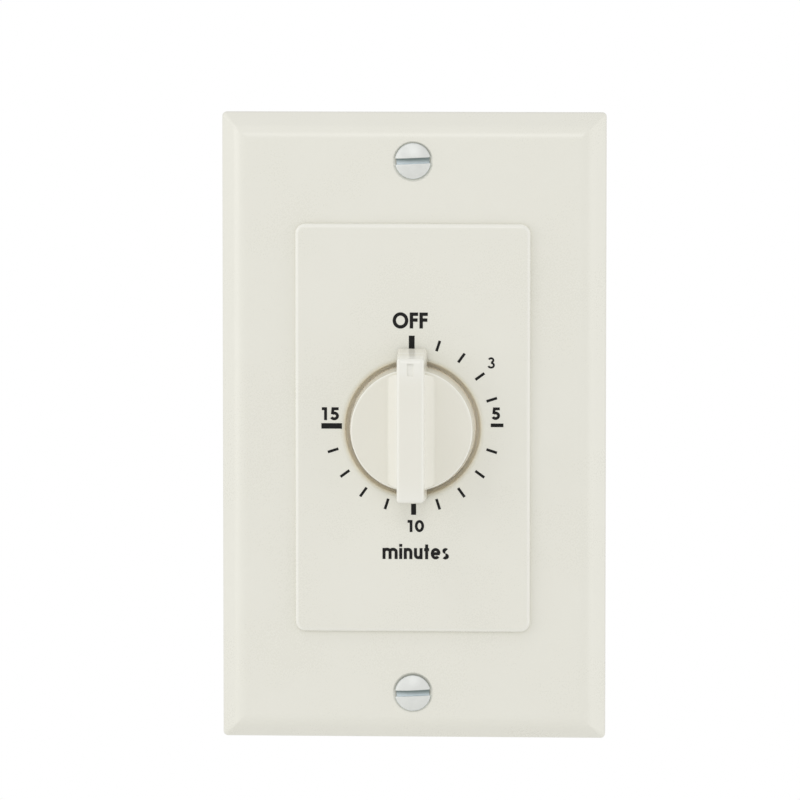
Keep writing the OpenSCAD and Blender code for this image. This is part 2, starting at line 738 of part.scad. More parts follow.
module mounting_strap() color(steel) difference() {
    strap_corner_r = 2;
    strap_margin = 1;
    end_corner_r = 3;
    ear_lap = 1.6;
    ear_neck = 2.4;
    ear_ring = 2.6;
    ear_x = strap_end_w / 2 + ear_r - ear_lap;
    ear_z = (box_screw_pitch / 2 + strap_len / 2) / 2;
    slab(strap_front, 0) difference() {
        union() {
            rounded(strap_w, 2 * (lug_z + lug_r + strap_margin), strap_corner_r);
            rounded(strap_end_w, strap_len, end_corner_r);
            for (z = [-ear_z, ear_z]) {
                translate([0, z]) square([2 * ear_x, ear_neck], center = true);
                for (x = [-ear_x, ear_x]) translate([x, z]) circle(ear_r);
            }
        }
        for (z = [-1, 1]) {
            translate([0, z * box_screw_pitch / 2]) rounded(box_slot_len, screw_d + 0.4,
                screw_d / 2 + 0.19);
            translate([0, z * plate_screw_pitch / 2]) circle(screw_d / 2 + fixed);
            for (x = [-ear_x, ear_x]) translate([x, z * ear_z]) circle(ear_r - ear_ring);
        }
        circle(bushing_r + fixed);
        translate(ground_at) circle(screw_d / 2 + fixed);
    }
    for (p = concat(pillar_places, lug_places)) translate([p[0], 0, p[1]])
        flat_head_sink(small_screw_d);
}

module shaft_bushing() color(brass) {
    bore = shaft_d / 2 + running;
    turned([[bore, bushing_front], [bushing_r, bushing_front], [bushing_r, 0],
        [bushing_r + bushing_flange, 0], [bushing_r + bushing_flange, bushing_t], [bore, bushing_t]]);
}

module box_screws() color(steel) at_box_screws() difference() {
    head_r = box_head_d / 2;
    head_h = box_head_h;
    turned([[0, strap_front - head_h], [head_r - 0.6, strap_front - head_h],
        [head_r, strap_front - head_h + 0.6], [head_r, strap_front], [neck_d / 2, strap_front],
        [neck_d / 2, retainer_t + 0.2], [screw_d / 2, retainer_t + 0.2], [screw_d / 2, box_screw_len - 0.7],
        [screw_d / 2 - 0.7, box_screw_len], [0, box_screw_len]]);
    screw_slot(strap_front - head_h, head_slot, slot_w, 0);
}

module screw_retainers() color([0.45, 0.30, 0.18]) at_box_screws() slab(0, retainer_t) difference() {
    rounded(retainer_w, 2 * screw_d, 1);
    circle(neck_d / 2 + fixed);
}

module ground_screw() color([0.20, 0.50, 0.25]) {
    flange_d = 2 * screw_d;
    flange_t = 0.6;
    hex_d = flange_d - flange_t;
    head_end = 2.4;
    translate([ground_at[0], 0, ground_at[1]]) difference() {
        union() {
            rod(screw_d, strap_front - 0.1, flange_t);
            rod(flange_d, 0, flange_t);
            rotate([0, 30, 0]) slab(flange_t, head_end) circle(d = hex_d, $fn = 6);
        }
        translate([0, head_end, 0]) mirror([0, 1, 0]) screw_slot(0, head_slot, slot_w, 20);
    }
}

// Case

module case_hollow() {
    slab(-1, case_inner) rounded(2 * (case_half_w - case_wall), 2 * (case_half_h - case_wall),
        case_corner_r - case_wall / 2);
}

// Section of the case with its rounded rear edges, as [distance from the middle, y] points
function case_section(half) = mirrored(concat([[half, 0]],
    arc(half - case_edge_r, case_rear - case_edge_r, case_edge_r, 0, 90)));

module case_block() {
    intersection() {
        slab(0, case_rear) rounded(2 * case_half_w, 2 * case_half_h, case_corner_r);
        along_z(-case_half_h, case_half_h, case_section(case_half_w));
        along_x(-case_half_w, case_half_w, [for (p = case_section(case_half_h)) [p[1], p[0]]]);
    }
}

module at_terminals() {
    for (x = [-contact_x, pin_x]) translate([x, 0, 0]) children();
}

module case() color(phenolic) difference() {
    union() {
        difference() {
            case_block();
            case_hollow();
        }
        for (p = lug_places) slab(0, lug_len) {
            translate(p) circle(lug_r);
            translate([p[0], sign(p[1]) * (lug_z + case_half_h - 1) / 2])
                square([2 * lug_r, lug_z - case_half_h + 1], center = true);
        }
        at_terminals() rod(screw_d + 3, case_inner - 2, case_inner, [0, terminal_screw_z]);
        translate([coil_x - coil_d / 2 - 0.6, lever_y0, coil_seat - ledge_t])
            cube([coil_d + 1.2, case_inner - lever_y0, ledge_t]);
        translate([coil_x, lever_mid, coil_seat - 1]) cylinder(d = coil_d - 2 * wire_d - 0.4, h = 1.8);
        translate([(pin_x - contact_x - barrier_t) / 2, case_rear - 0.01, tab_end])
            cube([barrier_t, terminal_t + barrier_over, exit_z - tab_end + barrier_over]);
    }
    at_terminals() {
        translate([-terminal_w / 2 - clip_gap, case_inner - 0.5, exit_z - clip_gap])
            cube([terminal_w + 2 * clip_gap, case_back + 1, terminal_t + 2 * clip_gap]);
        rod(screw_d + 2 * fixed, case_inner - 1.4, case_rear + 1, [0, terminal_screw_z]);
    }
    for (p = lug_places) rod(small_screw_d + 2 * fixed, -1, lug_len + 1, p);
}

module case_screws() color(steel) for (p = lug_places) translate([p[0], 0, p[1]])
    flat_head(small_screw_d, lug_len - 1);

// Frame of the movement

module strap_spacers() color(brass) for (p = pillar_places) slab(0, front_y0) translate(p) difference() {
    circle(d = spacer_d);
    circle(d = small_screw_d + 2 * fixed);
}

module movement_screws() color(steel) for (p = pillar_places) translate([p[0], 0, p[1]])
    flat_head(small_screw_d, front_y0 - tenon_len - 1);

module frame_outline() {
    translate([0, (frame_top - frame_bottom) / 2])
        rounded(2 * frame_half_w, frame_top + frame_bottom, pillar_inset);
}

module frame_holes() {
    for (p = pillar_places) translate(p) circle(d = tenon_d + 2 * fixed);
    for (p = train_places) translate(p) circle(d = pivot_d + 2 * running);
    circle(d = arbor_d + 2 * running);
}

module front_plate() color(brass) slab(front_y0, front_y1) difference() {
    frame_outline();
    frame_holes();
    translate(post_at) circle(d = post_d + 2 * fixed);
}

module frame_pillars() color(brass) for (p = pillar_places) turned([[0, front_y0 - tenon_len],
    [tenon_d / 2, front_y0 - tenon_len], [tenon_d / 2, front_y1], [pillar_d / 2, front_y1],
    [pillar_d / 2, back_y0], [tenon_d / 2, back_y0], [tenon_d / 2, back_y1 + tenon_len],
    [0, back_y1 + tenon_len]], p);

// The back plate is cut away over the escapement, so that it can be seen and oiled
module back_plate() color(brass) slab(back_y0, back_y1) difference() {
    frame_outline();
    frame_holes();
    translate(polar(stop_r, 90)) circle(d = stop_post_d - 0.8 + 2 * fixed);
    translate(escape_at) difference() {
        circle(escape_r - 0.4);
        circle(pivot_d / 2 + 1.2);
        for (a = [0, 90]) rotate(a + pallet_dir) square([2 * escape_r, 1.4], center = true);
    }
    for (x = [-1, 1]) translate([x * main_tip * 0.55, -main_tip * 0.55]) circle(main_tip * 0.26);
}

module pillar_nuts() color(steel) for (p = pillar_places) slab(back_y1, back_y1 + tenon_len) translate(p)
    difference() {
        circle(d = tenon_d + 2.3, $fn = 6);
        circle(d = tenon_d + 2 * fixed);
    }

// Main arbor, spring and clutch

module main_arbor() color(steel) difference() {
    turned([[0, shaft_tip], [shaft_d / 2 - 0.4, shaft_tip], [shaft_d / 2, shaft_tip + 0.4],
        [shaft_d / 2, bushing_t + end_play], [shaft_d / 2 + collar_rise, bushing_t + end_play],
        [shaft_d / 2 + collar_rise, spring_collar_y1], [spring_seat_d / 2, spring_collar_y1],
        [spring_seat_d / 2, front_y0 - end_play], [arbor_d / 2, front_y0 - end_play],
        [arbor_d / 2, cam_y1], [arbor_d / 2 - 0.5, cam_y1], [arbor_d / 2 - 0.5, cam_y1 + cam_clip_t],
        [arbor_d / 2, cam_y1 + cam_clip_t], [arbor_d / 2, arbor_end], [0, arbor_end]]);
    translate([-10, shaft_tip - 1, shaft_d / 2 - flat_d])
        cube([20, hub_back - shaft_tip + 1 + end_play, 10]);
    translate([0, spring_y0 - 0.3, -hook_slot / 2]) cube([10, spring_y1 - spring_y0 + 0.6, hook_slot]);
}

// One strip wound from the arbor out to its post. It starts in the arbor's slot at angle 0.
spring_sweep = 360 * spring_turns + spring_end_dir - 360;
steps_per_turn = 30;
function spring_r(a) = spring_inner_r + (spring_outer_r - spring_inner_r) * a / spring_sweep;
function spring_edge(side) = let (steps = ceil(spring_sweep / 360 * steps_per_turn))
    [for (i = [0 : steps]) let (a = spring_sweep * i / steps)
        polar(spring_r(a) + side * strip_t / 2, a)];
function reversed(list) = [for (i = [len(list) - 1 : -1 : 0]) list[i]];

module mainspring() color([0.25, 0.28, 0.35]) difference() {
    eye_d = post_d + 2 * fixed;
    tongue = spring_inner_r - spring_seat_d / 2 + 1;
    union() {
        slab(spring_y0, spring_y1) polygon(concat(spring_edge(-1), reversed(spring_edge(1))));
        translate([spring_seat_d / 2 - 1, spring_y0, -strip_t / 2])
            cube([tongue, spring_y1 - spring_y0, strip_t]);
        rod(eye_d + 2 * strip_t, spring_y0, spring_y1, post_at);
    }
    rod(eye_d, spring_y0 - 1, spring_y1 + 1, post_at);
}

module spring_post() color(steel) turned([[0, spring_y0 - 0.4], [post_d / 2, spring_y0 - 0.4],
    [post_d / 2, front_y1], [0, front_y1]], post_at);

module clutch_hub() color(steel) slab(front_y1 + end_play, clutch_hub_y1) difference() {
    circle(clutch_r);
    circle(d = arbor_hole);
}

module main_wheel() color(brass) slab(main_y0, main_y1) difference() {
    crossed_wheel(main_teeth, main_module, clutch_r + 0.8, 5);
    circle(d = arbor_hole);
}

// A dished spring washer presses the wheel on its hub, so that the dial can be turned back
module clutch_washer() color(steel) {
    inner = arbor_hole / 2;
    lift = clutch_washer_t - 0.3;
    turned([[inner, main_y1 + lift], [clutch_r, main_y1], [clutch_r, main_y1 + 0.3],
        [inner, main_y1 + clutch_washer_t]]);
}

module clutch_clip() color(steel) {
    y0 = main_y1 + clutch_washer_t;
    slab(y0, y0 + clutch_clip_t) difference() {
        circle(clutch_r - 0.8);
        circle(d = arbor_hole);
        translate([0, -0.4]) square([clutch_r, 0.8]);
    }
}

// Train: each arbor carries a pinion in one piece with it and a pressed-on wheel

module second_arbor() color(steel) {
    train_arbor(second_at);
    pinion(main_module, second_turn, main_y0 - pinion_over, main_y1 + pinion_over, second_at);
}

module second_wheel() color(brass) train_wheel(second_module, second_turn, second_y0, second_at);

module third_arbor() color(steel) {
    train_arbor(third_at);
    pinion(second_module, third_turn, second_y0 - pinion_over, second_y1 + pinion_over, third_at);
}

module third_wheel() color(brass) train_wheel(third_module, third_turn, third_y0, third_at);

module escape_arbor() color(steel) {
    train_arbor(escape_at);
    pinion(third_module, escape_turn, third_y0 - pinion_over, third_y1 + pinion_over, escape_at);
}

module escape_wheel() color(brass) slab(escape_y0, escape_y1) translate(escape_at) difference() {
    root_r = escape_r - 1.1;
    rotate(escape_phase) polygon([for (k = [0 : escape_teeth - 1],
        p = [[root_r, 0.42], [escape_r, 0.04], [escape_r, -0.04], [root_r, -0.2]])
        polar(p[0], (p[1] - k) * escape_pitch)]);
    difference() {
        circle(root_r - 0.8);
        circle(train_d / 2 + 0.9);
        for (a = [0, 90]) rotate(a) square([2 * root_r, 0.8], center = true);
    }
    circle(train_d / 2 + fixed);
}

module pallet_arbor() color(steel) train_arbor(pallet_at);

// The anchor, drawn about its own arbor with the escape wheel on the side of -pallet_dir
module pallet_lever() color(steel) difference() {
    reach = escape_r + pallet_reach;
    nib_r = escape_r + pallet_clear;
    union() {
        rod(3, escape_y0, escape_y1, pallet_at);
        for (s = [-1, 1]) slab(escape_y0, escape_y1) translate(escape_at) let (
            a = pallet_dir + s * pallet_span / 2,
            nib = polar(nib_r, a),
            across = polar(0.12, a + s * 90),
            elbow_in = polar(nib_r + 0.9, a + s * 3),
            elbow_out = polar(nib_r + 1.7, a + s * 12),
            hub = polar(reach, pallet_dir),
            hub_out = polar(0.8, pallet_dir))
            polygon([nib - across, nib + across, elbow_out, hub + hub_out, hub - hub_out, elbow_in]);
    }
    rod(train_d + 2 * fixed, escape_y0 - 1, escape_y1 + 1, pallet_at);
}

// A small weighted bar that sets the beat of the pallets
module inertia_bar() color(brass) slab(inertia_y0, inertia_y0 + inertia_t) translate(pallet_at)
difference() {
    union() {
        square([inertia_w, bar_len - 2 * weight_r], center = true);
        circle(inertia_w);
        for (s = [-1, 1]) translate([0, s * (bar_len / 2 - weight_r)]) circle(weight_r);
    }
    circle(train_d / 2 + fixed);
}

// Switch

// The stop plate's arm meets its post at both ends of the dial's turn
module stop_plate() color(steel) difference() {
    post_half = asin(stop_post_d / 2 / stop_r);
    arm = 360 - timer_sweep - 2 * post_half - 2 * stop_margin;
    from = 90 - post_half - stop_margin;
    union() {
        rod(2 * cam_r, stop_y0, stop_y1);
        slab(stop_y0, stop_y1) polygon(concat([[0, 0]], arc(0, 0, stop_r + 0.8, from, from - arm, 12)));
    }
    rod(arbor_hole, stop_y0 - 1, stop_y1 + 1);
}

module stop_post() color(steel) turned([[0, back_y0], [stop_post_d / 2 - 0.4, back_y0],
    [stop_post_d / 2 - 0.4, back_y1], [stop_post_d / 2, back_y1], [stop_post_d / 2, stop_y1],
    [0, stop_y1]], polar(stop_r, 90));

module switch_cam() color([0.85, 0.83, 0.76]) slab(cam_y0, cam_y1) difference() {
    lobe_r = cam_r / 2;
    union() {
        circle(cam_r);
        translate([0, lobe_r - cam_r - cam_lift]) circle(lobe_r);
    }
    circle(d = arbor_hole);
}

module cam_clip() color(steel) slab(cam_y1, cam_y1 + cam_clip_t) difference() {
    circle(arbor_d / 2 + 1.2);
    circle(arbor_d / 2 - 0.5 + fixed);
    translate([-arbor_d / 2 + 0.6, 0]) square([arbor_d - 1.2, arbor_d]);
}

module contact_lever() color(brass) slab(lever_y0, lever_y1) difference() {
    union() {
        translate([-contact_x - contact_d / 2 - 0.4, lever_z - lever_h / 2])
            square([pin_x + contact_x + contact_d / 2 + 0.4, lever_h]);
        translate([pin_x, lever_z]) circle(pin_d / 2 + 1.4);
        translate([0, lever_top + nose_h - nose_r]) circle(nose_r);
    }
    translate([pin_x, lever_z]) circle(pin_d / 2 + running);
}

module contact_button(z0, z1) {
    crown = 0.25 * (z1 > z0 ? 1 : -1);
    translate([-contact_x, lever_mid, 0]) rotate_extrude()
        polygon([[0, z0], [contact_d / 2, z0], [contact_d / 2, z1 - crown], [contact_d / 3, z1], [0, z1]]);
}

module moving_contact() color([0.88, 0.88, 0.86]) contact_button(lever_top, lever_top + contact_h);

module fixed_contact() color([0.88, 0.88, 0.86]) contact_button(fixed_face + contact_h, fixed_face);

module lever_pin() color(steel) {
    head_r = pin_d / 2 + 0.8;
    turned([[0, lever_y0 - end_play - 0.6], [head_r, lever_y0 - end_play - 0.6],
        [head_r, lever_y0 - end_play], [pin_d / 2, lever_y0 - end_play],
        [pin_d / 2, lever_y1 + end_play], [head_r + 0.4, lever_y1 + end_play], [head_r + 0.4, leaf_front],
        [pin_d / 2, leaf_front], [pin_d / 2, case_inner], [0, case_inner]], [pin_x, lever_z]);
}

// The return spring: six-sided wire swept along a helix that stands on the case's ledge
module lever_spring() color(steel) {
    sides = 6;
    rings = coil_turns * 12;
    wire_r = wire_d / 2;
    helix_r = coil_d / 2 - wire_r;
    foot = coil_seat + wire_r + fixed;
    rise = lever_z - lever_h / 2 - wire_r - fixed - foot;
    points = [for (i = [0 : rings], k = [0 : sides - 1]) let (
        a = 360 * coil_turns * i / rings,
        b = 360 * k / sides,
        r = helix_r + wire_r * cos(b))
        [coil_x + r * cos(a), lever_mid + r * sin(a), foot + rise * i / rings + wire_r * sin(b)]];
    around = [for (i = [0 : rings - 1], k = [0 : sides - 1]) let (
        p = i * sides + k,
        q = i * sides + (k + 1) % sides)
        each [[p, p + sides, q], [q, p + sides, q + sides]]];
    ends = [for (k = [1 : sides - 2]) each [[0, k, k + 1],
        [rings * sides, rings * sides + k + 1, rings * sides + k]]];
    polyhedron(points, concat(around, ends));
}

// A brass strip on the case's back wall, out through its slot and down over the back
function terminal_side(top) = [[leaf_front, top], [case_inner, top], [case_inner, exit_z + terminal_t],
    [case_rear + terminal_t, exit_z + terminal_t], [case_rear + terminal_t, tab_end],
    [case_rear, tab_end], [case_rear, exit_z], [leaf_front, exit_z]];

module terminal_hole() {
    rod(screw_d + 2 * fixed, case_rear - 1, case_rear + terminal_t + 1, [0, terminal_screw_z]);
}

module line_terminal() color(brass) {
    shelf = fixed_face + contact_h;
    translate([-contact_x, 0, 0]) difference() {
        union() {
            along_x(-terminal_w / 2, terminal_w / 2, terminal_side(shelf + terminal_t));
            translate([-terminal_w / 2, lever_y0, shelf])
                cube([terminal_w, case_inner - lever_y0, terminal_t]);
        }
        terminal_hole();
    }
}

module load_terminal() color(brass) translate([pin_x, 0, 0]) difference() {
    along_x(-terminal_w / 2, terminal_w / 2, terminal_side(lever_z + terminal_w / 2));
    terminal_hole();
    rod(pin_d + 2 * fixed, leaf_front - 1, case_inner + 1, [0, lever_z]);
}

module terminal_screws() color(brass) at_terminals() translate([0, 0, terminal_screw_z]) difference() {
    seat = case_rear + terminal_t;
    head_r = terminal_head_d / 2;
    head_end = seat + terminal_head_h;
    turned([[0, case_inner - 1], [screw_d / 2, case_inner - 1], [screw_d / 2, seat], [head_r, seat],
        [head_r, head_end - 0.8], [head_r - 0.8, head_end], [0, head_end]]);
    translate([0, head_end, 0]) mirror([0, 1, 0]) screw_slot(0, head_slot, slot_w, 35);
}

wall_plate();
plate_screws();
dial_plate();
knob();
knob_clip();
mounting_strap();
shaft_bushing();
box_screws();
screw_retainers();
ground_screw();
case();
case_screws();
strap_spacers();
movement_screws();
front_plate();
frame_pillars();
back_plate();
pillar_nuts();
main_arbor();
mainspring();
spring_post();
clutch_hub();
main_wheel();
clutch_washer();
clutch_clip();
second_arbor();
second_wheel();
third_arbor();
third_wheel();
escape_arbor();
escape_wheel();
pallet_arbor();
pallet_lever();
inertia_bar();
stop_plate();
stop_post();
switch_cam();
cam_clip();
contact_lever();
moving_contact();
lever_pin();
lever_spring();
line_terminal();
fixed_contact();
load_terminal();
terminal_screws();
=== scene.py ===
import math

import bmesh
import bpy
import numpy as np
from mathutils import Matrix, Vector
from mathutils.geometry import delaunay_2d_cdt


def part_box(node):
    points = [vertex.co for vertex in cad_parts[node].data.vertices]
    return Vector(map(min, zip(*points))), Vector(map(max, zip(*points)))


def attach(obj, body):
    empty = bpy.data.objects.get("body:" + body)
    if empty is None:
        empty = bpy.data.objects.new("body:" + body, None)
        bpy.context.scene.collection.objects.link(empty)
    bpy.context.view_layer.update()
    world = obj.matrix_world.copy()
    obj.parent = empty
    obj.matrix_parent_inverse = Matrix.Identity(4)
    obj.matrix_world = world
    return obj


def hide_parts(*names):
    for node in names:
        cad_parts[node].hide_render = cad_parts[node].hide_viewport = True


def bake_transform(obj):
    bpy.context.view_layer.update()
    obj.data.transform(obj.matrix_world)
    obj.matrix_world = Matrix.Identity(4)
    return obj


# A spring-wound timer light switch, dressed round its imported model. X is to the right, Z is up,
# the front faces -Y and the knob turns about the Y axis. Sizes are in millimetres until a mesh is made.
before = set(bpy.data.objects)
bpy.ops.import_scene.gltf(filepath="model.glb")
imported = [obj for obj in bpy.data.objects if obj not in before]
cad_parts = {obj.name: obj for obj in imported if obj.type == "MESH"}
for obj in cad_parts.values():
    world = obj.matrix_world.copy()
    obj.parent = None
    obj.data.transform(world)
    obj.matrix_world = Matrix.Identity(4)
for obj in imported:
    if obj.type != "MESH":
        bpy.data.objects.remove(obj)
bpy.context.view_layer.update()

# The studio: a white surround and four soft panels, at both sides, in front and high on the left. The side
# panels are wide, so the plate's side bevels come out lightest. The switch hangs as on a wall, and the
# camera looks at it from a little above and to the right.
scene = bpy.context.scene
scene.view_settings.view_transform = "Standard"
camera_turn, camera_rise, camera_far = math.radians(3.0), math.radians(5.2), 1.3
view_width, sensor, aim_right, aim_up = 0.1459, 36, -0.00263, 0.00455
to_camera = Vector((math.sin(camera_turn) * math.cos(camera_rise),
                    -math.cos(camera_turn) * math.cos(camera_rise), math.sin(camera_rise)))
to_right = Vector((math.cos(camera_turn), math.sin(camera_turn), 0))
to_top = to_right.cross(-to_camera)
aim = aim_right * to_right + aim_up * to_top
camera = bpy.data.objects.new("camera", bpy.data.cameras.new("camera"))
camera.data.sensor_width = sensor
camera.data.lens = sensor * camera_far / view_width
camera.location = aim + camera_far * to_camera
camera.rotation_euler = (-to_camera).to_track_quat("-Z", "Y").to_euler()
scene.collection.objects.link(camera)
scene.camera = camera

world = bpy.data.worlds.new("studio")
world.use_nodes = True
scene.world = world
tree = world.node_tree
tree.nodes.clear()
room_strength, warm_white = 0.69, (1, 0.995, 0.985, 1)
room, backdrop = (tree.nodes.new("ShaderNodeBackground") for _ in range(2))
room.inputs["Strength"].default_value = room_strength
room.inputs["Color"].default_value = warm_white
backdrop.inputs["Color"].default_value = (1, 1, 1, 1)
sight, choice = tree.nodes.new("ShaderNodeLightPath"), tree.nodes.new("ShaderNodeMixShader")
surround = tree.nodes.new("ShaderNodeOutputWorld")
tree.links.new(sight.outputs["Is Camera Ray"], choice.inputs["Fac"])
tree.links.new(room.outputs[0], choice.inputs[1])
tree.links.new(backdrop.outputs[0], choice.inputs[2])
tree.links.new(choice.outputs[0], surround.inputs["Surface"])

for name, spot, width, power in (
        ("left_panel", (-0.95, -0.35, 0.2), 0.7, 1.8), ("right_panel", (1.0, -0.14, 0.1), 0.9, 1.9),
        ("front_panel", (0, -0.95, 0.5), 0.3, 0.98), ("top_panel", (-0.4, -0.35, 0.95), 0.3, 0.75)):
    light = bpy.data.lights.new(name, "AREA")
    light.size, light.energy = width, power
    panel = bpy.data.objects.new(name, light)
    panel.location = spot
    panel.rotation_euler = (-Vector(spot)).to_track_quat("-Z", "Y").to_euler()
    scene.collection.objects.link(panel)


# The floor: matt white card well below the switch, a little uneven in tone and lit from below, as a product
# table is. It is no part of the switch.
def grid_quads(rows, cols, close_rows=False, close_cols=True):
    """Corner numbers of the quads between the points of a grid, counted row by row. A closed way joins
    its last line of points to its first."""
    r = np.arange(rows if close_rows else rows - 1)[:, None]
    c = np.arange(cols if close_cols else cols - 1)[None, :]
    r2, c2 = (r + 1) % rows, (c + 1) % cols
    return np.stack([r * cols + c, r * cols + c2, r2 * cols + c2, r2 * cols + c], -1).reshape(-1, 4)


def sheet(points, close_rows=False, close_cols=True):
    """A shell from an array of points of shape (rows, columns, 3): the points and their quads."""
    return points.reshape(-1, 3), grid_quads(*points.shape[:2], close_rows, close_cols)


def made(name, shells, crisp=32):
    """One object from several shells, put end to end. Points in one place are merged, faces turn
    outwards, and an edge that turns by more than crisp degrees stays sharp."""
    starts = np.cumsum([0] + [len(points) for points, _ in shells])
    faces = [corner for (_, quads), start in zip(shells, starts) for corner in (quads + start).tolist()]
    mesh = bpy.data.meshes.new(name)
    mesh.from_pydata((np.concatenate([points for points, _ in shells]) / 1000).tolist(), [], faces)
    work = bmesh.new()
    work.from_mesh(mesh)
    bmesh.ops.remove_doubles(work, verts=work.verts, dist=2e-7)
    bmesh.ops.recalc_face_normals(work, faces=work.faces)
    work.to_mesh(mesh)
    work.free()
    mesh.shade_smooth()
    mesh.set_sharp_from_angle(angle=math.radians(crisp))
    piece = bpy.data.objects.new(name, mesh)
    scene.collection.objects.link(piece)
    return piece


def finish_group(name, dark, light, **others):
    """A shader group for a finish, with two colours and further named inputs, that puts out a colour, a
    roughness and a height. Returns its tree, its inputs, its outputs and the place on the piece."""
    group = bpy.data.node_groups.new(name, "ShaderNodeTree")
    colours = {"Dark": (*dark, 1), "Light": (*light, 1)}
    for label, value in {**colours, **others}.items():
        kind = "Color" if label in colours else "Vector" if np.ndim(value) else "Float"
        socket = group.interface.new_socket(label, in_out="INPUT", socket_type="NodeSocket" + kind)
        socket.default_value = value
    for label, kind in (("Color", "Color"), ("Roughness", "Float"), ("Height", "Float")):
        group.interface.new_socket(label, in_out="OUTPUT", socket_type="NodeSocket" + kind)
    place = group.nodes.new("ShaderNodeTexCoord").outputs["Object"]
    return group, group.nodes.new("NodeGroupInput").outputs, group.nodes.new("NodeGroupOutput").inputs, place


def feed(tree, socket, value):
    """Links a socket to a node's output, or sets it to a plain number or colour."""
    if hasattr(value, "is_output"):
        tree.links.new(value, socket)
    else:
        socket.default_value = (*value, 1) if socket.type == "RGBA" else value


def put_out(tree, out, colour, roughness, height):
    """Links a finish's colour, roughness and height to the outputs of its group."""
    for label, value in (("Color", colour), ("Roughness", roughness), ("Height", height)):
        tree.links.new(value, out[label])


def noise(tree, vector, scale, detail=4.0, roughness=0.55, distortion=0.0):
    """A noise texture on the given vector; returns its value."""
    texture = tree.nodes.new("ShaderNodeTexNoise")
    for label, value in (("Vector", vector), ("Scale", scale), ("Detail", detail), ("Roughness", roughness),
                         ("Distortion", distortion)):
        feed(tree, texture.inputs[label], value)
    return texture.outputs["Fac"]


def stretched(tree, value, low, high, low_to, high_to):
    """The value carried from the span low to high onto the span low_to to high_to, held at both ends."""
    span = tree.nodes.new("ShaderNodeMapRange")
    for label, end in (("Value", value), ("From Min", low), ("From Max", high), ("To Min", low_to),
                       ("To Max", high_to)):
        feed(tree, span.inputs[label], end)
    return span.outputs["Result"]


def blended(tree, share, first, second):
    """The colour between first and second at the given share."""
    mix = tree.nodes.new("ShaderNodeMix")
    mix.data_type = "RGBA"
    tree.links.new(share, mix.inputs[0])
    feed(tree, mix.inputs[6], first)
    feed(tree, mix.inputs[7], second)
    return mix.outputs[2]


def finish(name, group, metallic=0.0, bump=0.25, depth=2e-6, specular=0.5, **values):
    """A material whose colour, roughness and bump come from one group, given its own values."""
    material = bpy.data.materials.new(name)
    material.use_nodes = True
    tree = material.node_tree
    shader = tree.nodes["Principled BSDF"]
    shader.inputs["Metallic"].default_value = metallic
    shader.inputs["Specular IOR Level"].default_value = specular
    skin = tree.nodes.new("ShaderNodeGroup")
    skin.node_tree = group
    for label, value in values.items():
        feed(tree, skin.inputs[label], value)
    relief = tree.nodes.new("ShaderNodeBump")
    relief.inputs["Strength"].default_value = bump
    relief.inputs["Distance"].default_value = depth
    tree.links.new(skin.outputs["Color"], shader.inputs["Base Color"])
    tree.links.new(skin.outputs["Roughness"], shader.inputs["Roughness"])
    tree.links.new(skin.outputs["Height"], relief.inputs["Height"])
    tree.links.new(relief.outputs["Normal"], shader.inputs["Normal"])
    return material


card, given, out, place = finish_group("matt card", (0.8, 0.8, 0.78), (0.86, 0.86, 0.85))
tone = noise(card, place, 9.0, 5)
put_out(card, out, blended(card, tone, given["Dark"], given["Light"]),
        stretched(card, tone, 0.3, 0.7, 0.75, 0.9), noise(card, place, 1500.0, 3))
floor_z, floor_half, floor_lines, floor_glow = -300, 1100, 12, 0.1
reach = np.linspace(-floor_half, floor_half, floor_lines)
across, along = np.meshgrid(reach, reach, indexing="ij")
floor = made("floor", [sheet(np.stack([across, along, np.full_like(across, floor_z)], -1), close_cols=False)])
floor.data.materials.append(finish("matt card", card, specular=0.2))
shader = floor.data.materials[0].node_tree.nodes["Principled BSDF"]
shader.inputs["Emission Color"].default_value = warm_white
shader.inputs["Emission Strength"].default_value = floor_glow


# The frame of the clockwork: two stamped brass plates held apart by turned brass pillars with steel nuts,
# carried behind the strap on brass spacers and long screws. Rolled and drawn metal has streaks along one way,
# over finer specks, that tint its colour and its roughness.
def summed(tree, first, second, share):
    """First plus share times second."""
    total = tree.nodes.new("ShaderNodeMath")
    total.operation = "MULTIPLY_ADD"
    for socket, value in zip(total.inputs, (second, share, first)):
        feed(tree, socket, value)
    return total.outputs[0]


def dress(material, *names):
    """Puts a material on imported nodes, in place of the plain one they came with."""
    for name in names:
        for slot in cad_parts[name].material_slots:
            slot.material = material


metal, given, out, place = finish_group("rolled metal", (0.5, 0.5, 0.5), (0.8, 0.8, 0.8),
                                        Stretch=(300, 300, 6000), Least=0.2, Most=0.4)
pulled = metal.nodes.new("ShaderNodeVectorMath")
pulled.operation = "MULTIPLY"
metal.links.new(place, pulled.inputs[0])
metal.links.new(given["Stretch"], pulled.inputs[1])
streaks = noise(metal, pulled.outputs[0], 1.0, 6, 0.62)
clouds = noise(metal, place, 210.0, 3)
specks = noise(metal, place, 5200.0, 2)
tint = summed(metal, summed(metal, streaks, clouds, 0.8), specks, 0.25)
put_out(metal, out, blended(metal, stretched(metal, tint, 0.72, 1.32, 0, 1), given["Dark"], given["Light"]),
        stretched(metal, summed(metal, streaks, specks, 0.6), 0.5, 1.1, given["Least"], given["Most"]),
        summed(metal, streaks, specks, 0.4))
brushed_brass = finish("brushed brass", metal, 1.0, 0.3, 3e-6, Dark=(0.52, 0.36, 0.12),
                       Light=(0.78, 0.6, 0.27), Stretch=(420, 2600, 5200), Least=0.2, Most=0.42)
turned_brass = finish("turned brass", metal, 1.0, 0.25, 2e-6, Dark=(0.56, 0.39, 0.13),
                      Light=(0.82, 0.63, 0.28), Stretch=(900, 7000, 900), Least=0.16, Most=0.32)
